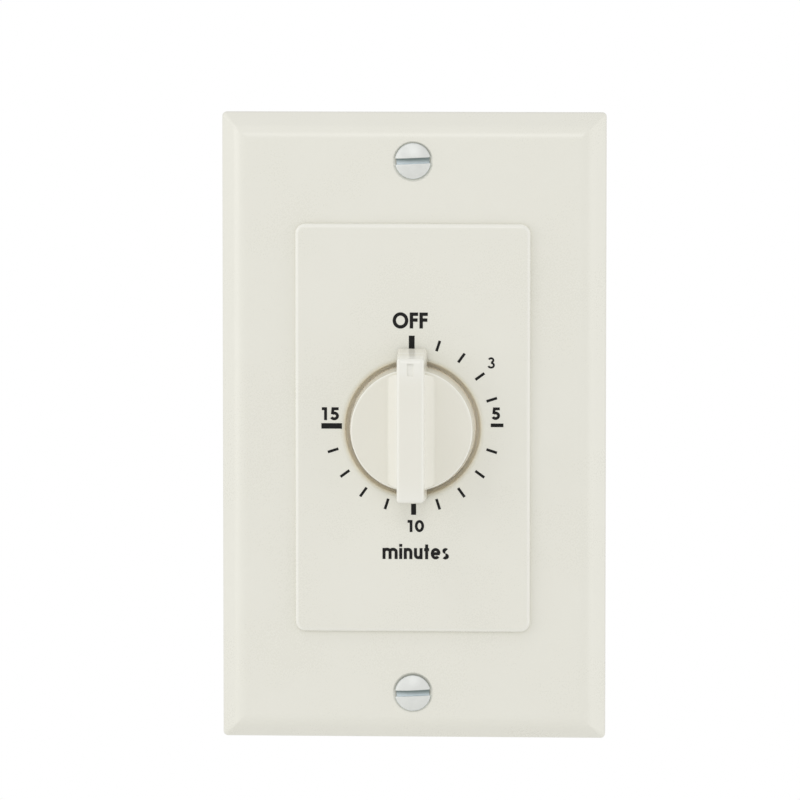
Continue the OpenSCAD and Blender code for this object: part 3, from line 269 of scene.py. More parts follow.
bright_steel = finish("polished steel", metal, 1.0, 0.2, 2e-6, Dark=(0.42, 0.42, 0.43),
                      Light=(0.66, 0.66, 0.67), Stretch=(900, 8000, 900), Least=0.14, Most=0.3)
zinc_plate = finish("zinc plate", metal, 1.0, 0.35, 3e-6, Dark=(0.46, 0.48, 0.5),
                    Light=(0.72, 0.74, 0.76), Stretch=(3800, 900, 520), Least=0.26, Most=0.46)
dress(brushed_brass, "front_plate", "back_plate")
dress(turned_brass, "frame_pillars", "strap_spacers")
dress(bright_steel, "pillar_nuts")
dress(zinc_plate, "movement_screws")

# The arbors and wheels: steel arbors cut in one piece with their pinions, and brass wheels with crossed-out
# spokes pressed on them. The train ends in an escape wheel, steel pallets and a brass inertia bar.
dress(bright_steel, "main_arbor", "second_arbor", "third_arbor", "escape_arbor", "pallet_arbor",
      "pallet_lever", "clutch_hub", "spring_post")
dress(brushed_brass, "main_wheel", "second_wheel", "third_wheel", "escape_wheel", "inertia_bar")

# The clutch and the stop: a dished spring washer under a clip presses the main wheel on its hub, so the dial
# can be set. The stop plate's arm meets a post at both ends of the dial's turn.
blued_steel = finish("blued spring steel", metal, 1.0, 0.2, 2e-6, Dark=(0.035, 0.05, 0.11),
                     Light=(0.13, 0.16, 0.24), Stretch=(500, 6000, 500), Least=0.18, Most=0.34)
dress(blued_steel, "clutch_washer", "clutch_clip", "cam_clip", "knob_clip")
dress(bright_steel, "stop_plate", "stop_post")


# The mainspring: one strip of blued steel. Its inner end is bent into the arbor's slot, it winds out in seven
# turns, and its outer end is an eye round the post in the front plate.
def rounded_loops(half_x, half_z, radius, depth, mid_z=0.0, corner=8, side=10):
    """Loops of a rounded rectangle about the Y axis. Each quarter is an arc about the corner's centre,
    followed by the straight side as far as the next arc. Half sizes, radius, depth and middle hold one
    value for each loop. The points come as (loops, around, 3)."""
    half_x, half_z, radius, depth, mid_z = np.broadcast_arrays(
        *(np.atleast_1d(np.asarray(v, float)) for v in (half_x, half_z, radius, depth, mid_z)))
    turn = np.linspace(0, np.pi / 2, corner + 1)
    signs = ((1, 1), (-1, 1), (-1, -1), (1, -1))
    arcs = [np.stack([(sx * (half_x - radius))[:, None] + radius[:, None] * np.cos(turn + k * np.pi / 2),
                      (mid_z + sz * (half_z - radius))[:, None]
                      + radius[:, None] * np.sin(turn + k * np.pi / 2)], -1)
            for k, (sx, sz) in enumerate(signs)]
    share = (np.arange(1, side) / side)[None, :, None]
    flat = np.concatenate([part for k in range(4) for part in
                           (arcs[k], arcs[k][:, -1:] * (1 - share) + arcs[(k + 1) % 4][:, :1] * share)], 1)
    return np.stack([flat[..., 0], np.broadcast_to(depth[:, None], flat.shape[:2]), flat[..., 1]], -1)


def carried(path, side, section):
    """A section carried along a path. At each path point a section point (a, b) lies a along the side
    vector and b along the third vector, square to the path and the side. Ends close on the path itself."""
    along = np.gradient(path, axis=0)
    along /= np.linalg.norm(along, axis=1, keepdims=True)
    third = np.cross(side, along)
    third /= np.linalg.norm(third, axis=1, keepdims=True)
    points = path[:, None] + section[None, :, :1] * np.broadcast_to(side, path.shape)[:, None] \
        + section[None, :, 1:] * third[:, None]
    ends = [np.repeat(end[None, None], len(section), 1) for end in (path[0], path[-1])]
    return sheet(np.concatenate([ends[0], points, ends[1]]))


strip_t, strip_front, strip_back, strip_soft = 0.4, 2.2, 7.4, 0.12
tongue_in, tongue_out, bend_x, bend_r = 1.6, 2.6, 2.64, 0.36
wind_r, wind_gain, wind_turns, eye_r, post_z = 2.975, 10.5, 6.75, 1.235, -14.71
wind = np.radians(np.linspace(0, 360 * wind_turns, 620)[8:])
bend = np.radians(np.linspace(270, 360, 8))
eye = np.radians(np.linspace(4, 335, 44))
wind_out = wind_r + wind_gain * wind / wind[-1]
strip_mid, strip_half = (strip_front + strip_back) / 2, (strip_back - strip_front) / 2
strip_path = np.concatenate([np.stack([x, np.full_like(x, strip_mid), z], -1) for x, z in (
    (np.linspace(tongue_in, tongue_out, 5), np.zeros(5)),
    ((bend_x + bend_r * np.cos(bend))[1:-1], (bend_r + bend_r * np.sin(bend))[1:-1]),
    (wind_out * np.cos(wind), wind_out * np.sin(wind)),
    (eye_r * np.sin(eye), post_z + eye_r * np.cos(eye)))])
strip_section = rounded_loops(strip_t / 2, strip_half, strip_soft, 0, corner=3, side=2)[0][:, [2, 0]]
mainspring = made("mainspring_strip", [carried(strip_path, np.array([[0.0, 1.0, 0.0]]), strip_section)])
mainspring.data.materials.append(blued_steel)
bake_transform(mainspring)
points = np.empty(3 * len(mainspring.data.vertices), np.float32)
mainspring.data.vertices.foreach_get("co", points)
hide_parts("mainspring")

# The switch: a nylon cam on the arbor holds a brass lever down at OFF. A coil spring lifts the lever when the
# dial is turned, and its silver button meets the fixed one under the line terminal.
plastic, given, out, place = finish_group("cloudy plastic", (0.6, 0.6, 0.5), (0.7, 0.7, 0.6), Clouds=160.0,
                                          Grain=4500.0, Least=0.35, Most=0.5)
cloud = noise(plastic, place, given["Clouds"], 3)
grain = noise(plastic, place, given["Grain"], 2)
tint = stretched(plastic, summed(plastic, cloud, grain, 0.3), 0.4, 0.9, 0, 1)
put_out(plastic, out, blended(plastic, tint, given["Dark"], given["Light"]),
        stretched(plastic, summed(plastic, cloud, grain, 0.8), 0.6, 1.2, given["Least"], given["Most"]),
        summed(plastic, grain, cloud, 0.6))
dress(finish("natural nylon", plastic, 0.0, 0.15, 3e-6, Dark=(0.6, 0.585, 0.5), Light=(0.72, 0.71, 0.63)),
      "switch_cam")
dress(brushed_brass, "contact_lever")
dress(bright_steel, "lever_pin")
dress(finish("dulled silver", metal, 1.0, 0.2, 2e-6, Dark=(0.6, 0.57, 0.5), Light=(0.88, 0.87, 0.84),
             Stretch=(1500, 1500, 1500), Least=0.15, Most=0.35), "moving_contact", "fixed_contact")

coil_low, coil_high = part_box("lever_spring")
coil_mid = (np.array(coil_low) + np.array(coil_high)) * 500
wire_r, coil_turns, turn_steps, end_close = 0.2, 4, 40, 0.6
coil_r = (coil_high.x - coil_low.x) * 500 - wire_r
coil_foot, coil_head = coil_low.z * 1000 + wire_r, coil_high.z * 1000 - wire_r
climb = np.linspace(0, 1, coil_turns * turn_steps + 1)
coil_turn = 2 * np.pi * coil_turns * climb
coil_out = np.stack([np.cos(coil_turn), np.sin(coil_turn), np.zeros_like(coil_turn)], -1)
coil_z = coil_foot + (coil_head - coil_foot) * (climb - end_close * np.sin(2 * np.pi * climb) / (2 * np.pi))
coil_path = np.stack([coil_mid[0] + coil_r * coil_out[:, 0], coil_mid[1] + coil_r * coil_out[:, 1],
                      coil_z], -1)
wire_turn = np.linspace(0, 2 * np.pi, 13)[:-1]
wire = wire_r * np.stack([np.cos(wire_turn), np.sin(wire_turn)], -1)
lever_coil = made("lever_coil", [carried(coil_path, coil_out, wire)])
lever_coil.data.materials.append(bright_steel)
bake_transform(lever_coil)
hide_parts("lever_spring")

# The case: black phenolic moulding with flecks of its wood-flour filler, two lugs and a rib between the
# terminals. The terminals are bent brass strips with binding screws on the back.
phenolic, given, out, place = finish_group("flecked phenolic", (0.012, 0.011, 0.010), (0.05, 0.042, 0.036))
flecks = noise(phenolic, place, 1800.0, 5, 0.7)
bloom = noise(phenolic, place, 90.0, 3)
tint = stretched(phenolic, summed(phenolic, flecks, bloom, 0.5), 0.66, 1.02, 0, 1)
put_out(phenolic, out, blended(phenolic, tint, given["Dark"], given["Light"]),
        stretched(phenolic, summed(phenolic, bloom, flecks, 0.4), 0.5, 0.9, 0.3, 0.5),
        summed(phenolic, flecks, bloom, 1.0))
dress(finish("flecked phenolic", phenolic, 0.0, 0.2, 8e-6), "case")
dress(zinc_plate, "case_screws")
dress(brushed_brass, "line_terminal", "load_terminal")
dress(turned_brass, "terminal_screws")

# The strap: zinc-plated steel sheet with plaster ears, a flanged brass bushing for the shaft, a green ground
# screw, and fibre washers that keep the two box screws from falling out.
dress(zinc_plate, "mounting_strap")
dress(turned_brass, "shaft_bushing")
dress(finish("green dyed plate", metal, 0.85, 0.3, 3e-6, Dark=(0.012, 0.1, 0.03), Light=(0.04, 0.24, 0.08),
             Stretch=(2500, 2500, 2500), Least=0.25, Most=0.42), "ground_screw")
fibre, given, out, place = finish_group("pressed fibre", (0.13, 0.03, 0.018), (0.3, 0.09, 0.05))
matted = noise(fibre, place, 1400.0, 6, 0.5, 2.5)
put_out(fibre, out, blended(fibre, stretched(fibre, matted, 0.35, 0.65, 0, 1), given["Dark"], given["Light"]),
        stretched(fibre, matted, 0.3, 0.7, 0.5, 0.75), matted)
dress(finish("red fibre", fibre, 0.0, 0.4, 1e-5), "screw_retainers")


# The box screws: zinc-plated steel pan heads on the strap, a thin neck in the fibre washer, and a long rolled
# thread that goes into the wall box.
def turned_shell(profile, about=(0.0, 0.0), around=64):
    """A profile of (radius, depth) points turned about an axis along Y through the given (x, z)."""
    profile = np.asarray(profile, float)
    a = np.linspace(0, 2 * np.pi, around + 1)[:-1]
    return sheet(np.stack([about[0] + profile[:, :1] * np.cos(a),
                           np.broadcast_to(profile[:, 1:], (len(profile), around)),
                           about[1] + profile[:, :1] * np.sin(a)], -1))


def screw_half(radius, low_radius, top, low, slot, tilt, about, sign, fall, worn=0.06, worn_w=0.12):
    """One half of a slotted head. One way of the grid runs along the slot, the other from the slot's edge
    out to the round rim. The top's depth is top plus fall(distance from the axis), and it is worn down a
    little at the slot's edge. The same grid, drawn in to the lower radius, makes the underside."""
    u = np.linspace(-1, 1, 49)[None, :]
    v = np.linspace(0, 1, 25)[:, None] ** 1.5

    def plan(r):
        """Places along and across the slot: the sine of u spreads p along it, v carries q out to the rim."""
        p = math.sqrt(r * r - slot * slot / 4) * np.sin(np.pi / 2 * u)
        q = slot / 2 + v * (np.sqrt(np.maximum(r * r - p * p, 0)) - slot / 2)
        return np.broadcast_to(p, q.shape), q

    def placed(p, y, q):
        """The places turned by the slot's tilt about the screw's axis."""
        q = sign * q
        return np.stack([about[0] + p * math.cos(tilt) - q * math.sin(tilt), y,
                         about[1] + p * math.sin(tilt) + q * math.cos(tilt)], -1)

    p, q = plan(radius)
    edge = worn * np.clip(1 - (q - slot / 2) / worn_w, 0, 1) ** 2
    upper = placed(p, top + fall(np.hypot(p, q)) + edge, q)
    p, q = plan(low_radius)
    under = placed(p, np.full(q.shape, low), q)
    rim = np.stack([upper[-1], under[-1]])
    wall = np.stack([upper[0], under[0]])
    return [sheet(part, close_cols=False) for part in (upper, under, rim, wall)]


def thread(radius, y0, y1, pitch, depth, about, around=40, per_pitch=10, tip_draw=0.75):
    """A threaded shank. The radius falls from the crest by the depth times a zigzag of the height less the
    angle's share of the pitch, so the groove climbs as a helix. It fades at the root, and the tip is
    drawn in."""
    y = np.linspace(y0, y1, int((y1 - y0) / pitch * per_pitch))[:, None]
    a = np.linspace(0, 2 * np.pi, around + 1)[None, :-1]
    zigzag = np.abs(2 * ((y / pitch - a / (2 * np.pi)) % 1) - 1)
    fade = np.clip((y - y0) / pitch, 0, 1)
    r = radius - depth * fade * np.clip(1.3 * zigzag - 0.15, 0, 1)
    r = np.minimum(r, radius - tip_draw + (y1 - y))
    shank = np.stack([about[0] + r * np.cos(a), np.broadcast_to(y, r.shape), about[1] + r * np.sin(a)], -1)
    root, tip = (np.broadcast_to(np.array([about[0], end, about[1]]), shank[:1].shape) for end in (y0, y1))
    return sheet(np.concatenate([root, shank, tip]))


def pan_fall(r):
    """A shallow dome, with a quarter round at the head's rim."""
    past = np.clip(r - head_r + pan_soft, 0, pan_soft)
    return dome_h * (r / head_r) ** 2 + pan_soft - np.sqrt(pan_soft ** 2 - past ** 2)


box_z, head_r, head_top, slot_floor, sawn, dome_h, pan_soft = 41.67, 3.25, -3.0, -2.1, 1.1, 0.06, 0.6
strap_front, neck_r, neck_end, shank_end = -1.3, 1.35, 1.05, 22.0
crest_r, pitch, groove, lap = 1.75, 0.794, 0.42, 0.05
shells = []
for z in (-box_z, box_z):
    for sign in (-1, 1):
        shells += screw_half(head_r, head_r, head_top, slot_floor + 0.04, sawn, 0, (0, z), sign, pan_fall)
    shells.append(turned_shell([(0, slot_floor), (head_r, slot_floor), (head_r, strap_front - 0.1),
                                (head_r - 0.1, strap_front), (neck_r, strap_front), (neck_r, neck_end),
                                (0, neck_end)], (0, z)))
    shells.append(thread(crest_r, neck_end - lap, shank_end, pitch, groove, (0, z)))
box_screws = made("box_screw_pair", shells, 40)
box_screws.data.materials.append(zinc_plate)
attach(box_screws, "switch_body")
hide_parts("box_screws")


# The wall plate: ivory moulding with a bevelled edge, a window for the dial and two sunk holes for screws.
# It is hollow behind, with a lip round the window, bosses under the screws and stiffening ribs.
def filled(depth, outline, holes):
    """A flat face at one depth, inside an outline and outside its holes: a Delaunay net over all the points,
    less the triangles whose middle lies in a hole. Outlines are (points, 3) loops."""
    loops = [outline, *holes]
    starts = np.cumsum([0] + [len(loop) for loop in loops])
    flat = np.concatenate(loops)[:, [0, 2]]
    rows = [np.arange(len(loop)) for loop in loops]
    sides = np.concatenate([np.stack([k, np.roll(k, -1)], -1) + start for k, start in zip(rows, starts)])
    points, _, faces, *_ = delaunay_2d_cdt(flat.tolist(), sides.tolist(), [], 0, 1e-7)
    points, faces = np.array(points), np.array([face for face in faces if len(face) == 3])
    middle = points[faces].mean(1)

    def inside(loop):
        """Whether a line to the right from each triangle's middle crosses the loop an odd number of times."""
        a, b = loop[:, [0, 2]], np.roll(loop[:, [0, 2]], -1, 0)
        spans = (a[None, :, 1] > middle[:, 1:]) != (b[None, :, 1] > middle[:, 1:])
        run = np.where(b[:, 1] == a[:, 1], 1, b[:, 1] - a[:, 1])
        cross = a[:, 0] + (middle[:, 1:] - a[:, 1]) * (b[:, 0] - a[:, 0]) / run
        return (spans & (middle[:, :1] < cross)).sum(1) % 2 == 1

    keep = inside(outline)
    for hole in holes:
        keep &= ~inside(hole)
    return np.stack([points[:, 0], np.full(len(points), depth), points[:, 1]], -1), faces[keep]


def ring(radius, depth, about=(0.0, 0.0), around=64):
    """A circle of points about an axis along Y."""
    a = np.linspace(0, 2 * np.pi, around + 1)[:-1]
    return np.stack([about[0] + radius * np.cos(a), np.full(around, depth),
                     about[1] + radius * np.sin(a)], -1)


def bevel_profile(run, edge, depth, edge_soft, front_soft, steps=13):
    """Section of a bevelled edge as (inset, depth) points, from the wall to the front, where the flat starts
    at the run. One arc joins the straight edge to the sloped bevel, and another joins that to the flat
    front. The slope is the one at which the bevel touches both arcs: its half angle's tangent solves a
    quadratic."""
    rise = depth - edge
    bow = rise - 2 * front_soft
    slope = 2 * math.atan((math.sqrt(run * run + rise * bow) - run) / bow)
    turn_e = edge_soft * math.tan((math.pi / 2 - slope) / 2)
    first = np.linspace(0, slope - math.pi / 2, steps)
    second = np.linspace(slope - math.pi / 2, -math.pi / 2, steps)
    return np.concatenate([
        np.stack([edge_soft - edge_soft * np.cos(first), -edge + turn_e + edge_soft * np.sin(first)], -1),
        np.stack([run - front_soft * np.cos(second), -depth + front_soft + front_soft * np.sin(second)], -1)])


def block(low, high, radius=0.15):
    """A closed block with softened upright edges, from its low to its high corner."""
    low, high = np.array(low, float), np.array(high, float)
    mid, half = (low + high) / 2, (high - low) / 2
    loops = rounded_loops([0.01, half[0], half[0], 0.01], [0.01, half[2], half[2], 0.01],
                          [0.005, radius, radius, 0.005], [low[1], low[1], high[1], high[1]],
                          corner=3, side=2)
    return sheet(loops + np.array([mid[0], 0, mid[2]]))


ivory_tone = {"Dark": (0.843, 0.835, 0.757), "Light": (0.863, 0.855, 0.782), "Clouds": 55.0, "Grain": 3800.0}
moulded_ivory = finish("moulded ivory", plastic, 0.0, 0.06, 2e-6, **ivory_tone, Least=0.25, Most=0.33)
half_w, half_h, plate_front, plate_inner, edge_h, wall_t = 34.925, 57.15, -5.6, -3.8, 1.5, 1.8
corner_r, corner_least, hollow_corner, window_corner, sink_soft = 0.8, 0.3, 0.4, 0.25, 0.06
bevel_run, edge_soft, bevel_soft, hollow_run, hollow_soft = 4.76, 1.6, 3.4, 4.3, 0.8
screw_z, sink_r, hole_r, boss_bore, boss_r = 48.42, 3.66, 1.85, 1.9, 2.55
window_x, window_z, lip_back, lip_t, margin = 16.65, 33.35, -2.55, 1.4, 0.25
rib_x, rib_half, long_rib_z, cross_rib_z, cross_from, root = 29.025, 0.6, 48.9, 22.2, 18.0, plate_inner - 0.3
outer = bevel_profile(bevel_run, edge_h, -plate_front, edge_soft, bevel_soft)
inset = np.concatenate([[0, 0], outer[:, 0], [outer[-1, 0] + 0.05]])
depth = np.concatenate([[0, -0.3], outer[:, 1], [plate_front]])
corner_in = np.clip(corner_r - 0.2 * inset, corner_least, corner_r)
front = rounded_loops(half_w - inset, half_h - inset, corner_in, depth)
hollow = bevel_profile(hollow_run, edge_h, -plate_inner, hollow_soft, hollow_soft)
hollow_in = wall_t + np.concatenate([[0], hollow[:, 0], [hollow[-1, 0] + 0.2]])
hollow_y = np.concatenate([[0], hollow[:, 1], [plate_inner]])
back = rounded_loops(half_w - hollow_in, half_h - hollow_in, hollow_corner, hollow_y)
lip_out = np.array([margin, 0, 0, 0, lip_t, lip_t, lip_t + margin])
lip_y = [plate_front, plate_front, plate_front + 0.2, lip_back, lip_back, plate_inner, plate_inner]
window = rounded_loops(window_x + lip_out, window_z + lip_out, window_corner, lip_y)
screw_rings = [[ring(r, y, (0, z)) for z in (-screw_z, screw_z)] for r, y in (
    (sink_r + 0.1, plate_front), (sink_r + 0.02, plate_front),
    (sink_r - sink_soft, plate_front + sink_soft), (hole_r, plate_front + sink_r - hole_r),
    (hole_r, plate_inner), (hole_r + 0.2, plate_inner))]
shells = [sheet(front), sheet(back), sheet(np.stack([front[0], back[0]])), sheet(window),
          filled(plate_front, front[-1], [window[0], *screw_rings[0]]),
          filled(plate_inner, back[-1], [window[-1], *screw_rings[-1]])]
shells += [sheet(np.stack([rings[k] for rings in screw_rings])) for k in range(2)]
shells += [turned_shell([(boss_bore, root), (boss_r, root), (boss_r, strap_front), (boss_bore, strap_front),
                         (boss_bore, root)], (0, z)) for z in (-screw_z, screw_z)]
shells += [block((x - rib_half, root, -long_rib_z), (x + rib_half, strap_front, long_rib_z))
           for x in (-rib_x, rib_x)]
shells += [block((x0, root, z - rib_half), (x1, lip_back, z + rib_half))
           for x0, x1 in ((-rib_x, -cross_from), (cross_from, rib_x)) for z in (-cross_rib_z, 0, cross_rib_z)]
wall_plate = made("wall_plate_moulding", shells)
wall_plate.data.materials.append(moulded_ivory)
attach(wall_plate, "switch_body")
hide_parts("wall_plate")


# The plate screws: nickel-plated oval heads with a sawn slot, sunk in the plate's two holes and screwed into
# the strap. The plating is dull and less metallic down in the slot, whose colour is painted shade, darkest
# under its upper edge.
def painted_light_by_depth(material, depths, colour, near=None, far=None):
    """Paints light or shade into a finish: turns it to another colour between depths along Y, none at the
    first, full from the second to the third, none again from the fourth. With near and far it also fades from
    full to none between these distances from the Y axis. Returns the material's shader and the share as a
    value."""
    tree = material.node_tree
    shader = tree.nodes["Principled BSDF"]
    under = shader.inputs["Base Color"].links[0].from_socket
    coordinates, parted = tree.nodes.new("ShaderNodeTexCoord"), tree.nodes.new("ShaderNodeSeparateXYZ")
    tree.links.new(coordinates.outputs["Object"], parted.inputs[0])
    start, *_, stop = depths
    ramp = tree.nodes.new("ShaderNodeValToRGB")
    steps = ramp.color_ramp.elements
    for _ in range(2):
        steps.new(0.5)
    for step, depth, share in zip(steps, depths, (0, 1, 1, 0)):
        step.position, step.color = (depth - start) / (stop - start), (share, share, share, 1)
    tree.links.new(stretched(tree, parted.outputs["Y"], start / 1000, stop / 1000, 0, 1), ramp.inputs["Fac"])
    share = ramp.outputs["Color"]
    if near:
        flat, length, both = (tree.nodes.new("ShaderNode" + kind)
                              for kind in ("VectorMath", "VectorMath", "Math"))
        flat.operation, length.operation, both.operation = "MULTIPLY", "LENGTH", "MULTIPLY"
        tree.links.new(coordinates.outputs["Object"], flat.inputs[0])
        flat.inputs[1].default_value = (1, 0, 1)
        tree.links.new(flat.outputs["Vector"], length.inputs[0])
        tree.links.new(share, both.inputs[0])
        fade = stretched(tree, length.outputs["Value"], near / 1000, far / 1000, 1, 0)
        tree.links.new(fade, both.inputs[1])
        share = both.outputs[0]
    tree.links.new(blended(tree, share, under, colour), shader.inputs["Base Color"])
    return shader, share


def oval_fall(r):
    """The fall of a ball's surface from its top, at a distance from the axis."""
    return dome_r - np.sqrt(dome_r ** 2 - r ** 2)


oval_r, under_r, oval_top, oval_edge = 3.24, 3.01, -6.5, -5.74
slot_low, slot_w, slot_tilt, slot_under, slot_over = -5.3, 1.1, math.radians(2.5), 0.45, 0.2
head_z, shank_from, plate_screw_end = screw_z + 0.1, -1.2, 6.0
slot_lit, slot_shade, slot_depths = (0.74, 0.82, 0.86), (0.28, 0.34, 0.34), (-5.85, -5.45, -5.2, -5.1)
nickel = finish("nickel plate", metal, 1.0, 0.1, 1e-6, Dark=(0.765, 0.78, 0.76), Light=(0.835, 0.85, 0.83),
                Stretch=(500, 500, 500), Least=0.46, Most=0.56)
tree = nickel.node_tree
coordinates, parted = tree.nodes.new("ShaderNodeTexCoord"), tree.nodes.new("ShaderNodeSeparateXYZ")
tree.links.new(coordinates.outputs["Object"], parted.inputs[0])
height = tree.nodes.new("ShaderNodeMath")
height.operation = "WRAP"
tree.links.new(parted.outputs["Z"], height.inputs[0])
height.inputs[1].default_value, height.inputs[2].default_value = 2 * head_z / 1000, 0
# Painted shade: down in the slot the colour runs from slot_lit at its lower edge to slot_shade under its
# upper edge.
across_slot = stretched(tree, height.outputs[0], (head_z - slot_under) / 1000, (head_z + slot_over) / 1000,
                        0, 1)
shader, deep = painted_light_by_depth(nickel, slot_depths, blended(tree, across_slot, slot_lit, slot_shade))
tree.links.new(stretched(tree, deep, 0, 1, 0.6, 0.1), shader.inputs["Metallic"])
oval_rise = oval_edge - oval_top
dome_r = (oval_r ** 2 + oval_rise ** 2) / 2 / oval_rise
shells = []
for z in (-head_z, head_z):
    for sign in (-1, 1):
        shells += screw_half(oval_r, under_r - 0.02, oval_top, slot_low + lap, slot_w, slot_tilt, (0, z),
                             sign, oval_fall)
    shells.append(turned_shell([(0, slot_low), (under_r, slot_low), (crest_r, slot_low + under_r - crest_r),
                                (crest_r, shank_from), (0, shank_from)], (0, z)))
    shells.append(thread(crest_r, shank_from - lap, plate_screw_end, pitch, groove, (0, z)))
plate_screws = made("plate_screw_pair", shells, 40)
plate_screws.data.materials.append(nickel)
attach(plate_screws, "switch_body")
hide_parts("plate_screws")

# The dial plate: an ivory panel laid on the wall plate, with a round well for the knob. Its skirt goes
# through the window and four hooks snap behind the window's lip.
dial_x, dial_z, dial_front, dial_lap, dial_corner, brow = 21.35, 37.15, -6.8, 5.0, 1.8, 0.8
well_r, well_edge, well_foot, well_floor, well_back, cup_r, hub_hole = 12.27, 0.9, 1.1, -4.6, -3.3, 13.5, 5.4
skirt_x, skirt_z, skirt_back, skirt_t = 16.5, 33.2, -1.6, 1.3
hook_x, hook_t, hook_front, hook_z, hook_half = 16.4, 0.5, -2.5, 22.2, 3
painted_bounce_warmth, painted_edge_highlight, tint_in, tint_out = (0.97, 0.91, 0.775), (0.905, 0.9, 0.84), 13.3, 13.6
bend = np.linspace(0, np.pi / 2, 9)
edge_in = np.concatenate([[dial_lap, 0.35, 0.15, 0.04], brow - brow * np.cos(bend), [brow + 0.3]])
edge_y = np.concatenate([plate_front - np.array([0, 0, 0.08, 0.22]), dial_front + brow - brow * np.sin(bend),
                         [dial_front]])
flange_corner = np.clip(dial_corner - edge_in, 0.7, dial_corner)
flange = rounded_loops(dial_x - edge_in, dial_z - edge_in, flange_corner, edge_y)
skirt_in = np.array([0, 0, skirt_t, skirt_t, skirt_t + 0.2])
skirt = rounded_loops(np.append(dial_x - dial_lap, skirt_x - skirt_in),
                      np.append(dial_z - dial_lap, skirt_z - skirt_in), [0.9, 0.3, 0.3, 0.3, 0.3, 0.3],
                      [plate_front, plate_front, skirt_back, skirt_back, plate_front, plate_front])
well = [(well_r + well_edge + 0.2, dial_front),
        *zip(well_r + well_edge - well_edge * np.sin(bend),
             dial_front + well_edge - well_edge * np.cos(bend)),
        *zip(well_r - well_foot + well_foot * np.cos(bend),
             well_floor - well_foot + well_foot * np.sin(bend)),
        (hub_hole + 0.2, well_floor), (hub_hole, well_floor), (hub_hole, well_back),
        (cup_r, well_back), (cup_r, plate_front), (cup_r + 0.2, plate_front)]
shells = [sheet(flange), sheet(skirt), turned_shell(well, around=128),
          filled(dial_front, flange[-1], [ring(*well[0], around=128)]),
          filled(plate_front, skirt[-1], [ring(*well[-1], around=128)])]
shells += [block((x - hook_t, hook_front, z - hook_half), (x + hook_t, skirt_back, z + hook_half))
           for x in (-hook_x, hook_x) for z in (-hook_z, hook_z)]
dial_plate = made("dial_moulding", shells)
# Painted light: the well is painted warm, for light that bounces about in it,
# and the dial's rounded outer edges are painted pale, as a highlight.
dial_ivory = finish("dial ivory", plastic, 0.0, 0.06, 2e-6, **ivory_tone, Least=0.25, Most=0.33)
painted_light_by_depth(dial_ivory, (dial_front + 0.02, dial_front + 0.9, 0, 1), painted_bounce_warmth, tint_in, tint_out)
painted_light_by_depth(dial_ivory, (dial_front + 0.005, dial_front + 0.1, dial_front + 0.6, dial_front + 0.9), painted_edge_highlight,
         tint_out, tint_in)
dial_plate.data.materials.append(dial_ivory)
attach(dial_plate, "switch_body")
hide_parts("dial_plate")


# The scale: black ink printed on the dial. A tick stands at each minute from OFF round to 15, with longer
# marks at OFF and 15 and at each five minutes, then the figures and the unit.
def capped(loops):
    """Loops of points with both ends closed: the first and the last loop are drawn in to their middles."""
    first, last = (np.repeat(end.mean(0)[None, None], loops.shape[1], 1) for end in (loops[0], loops[-1]))
    return np.concatenate([first, loops, last])


def stroke(points, width, closed=False, skin=0.03):
    """A flat ribbon of ink along a line of (x, z) points: half its width to each side, square to the line,
    and a skin of ink thick."""
    points = np.asarray(points, float)
    along = np.roll(points, -1, 0) - np.roll(points, 1, 0) if closed else np.gradient(points, axis=0)
    along /= np.linalg.norm(along, axis=1, keepdims=True)
    out = np.stack([-along[:, 1], along[:, 0]], -1) * width / 2
    left, right = points + out, points - out
    inked = dial_front - skin
    loops = np.stack([np.stack([side[:, 0], np.full(len(side), y), side[:, 1]], -1)
                      for side, y in ((left, dial_front), (left, inked), (right, inked),
                                      (right, dial_front))], 1)
    return sheet(loops if closed else capped(loops), close_rows=closed)


def arc(x, z, rx, rz, start, stop, steps=28):
    """Points on an ellipse about (x, z), from one angle to another in degrees."""
    a = np.radians(np.linspace(start, stop, steps))
    return np.stack([x + rx * np.cos(a), z + rz * np.sin(a)], -1)


def straight(x0, z0, x1, z1):
    """Points on a straight line."""
    share = np.linspace(0, 1, 3)[:, None]
    return np.array([[x0, z0]]) * (1 - share) + np.array([[x1, z1]]) * share


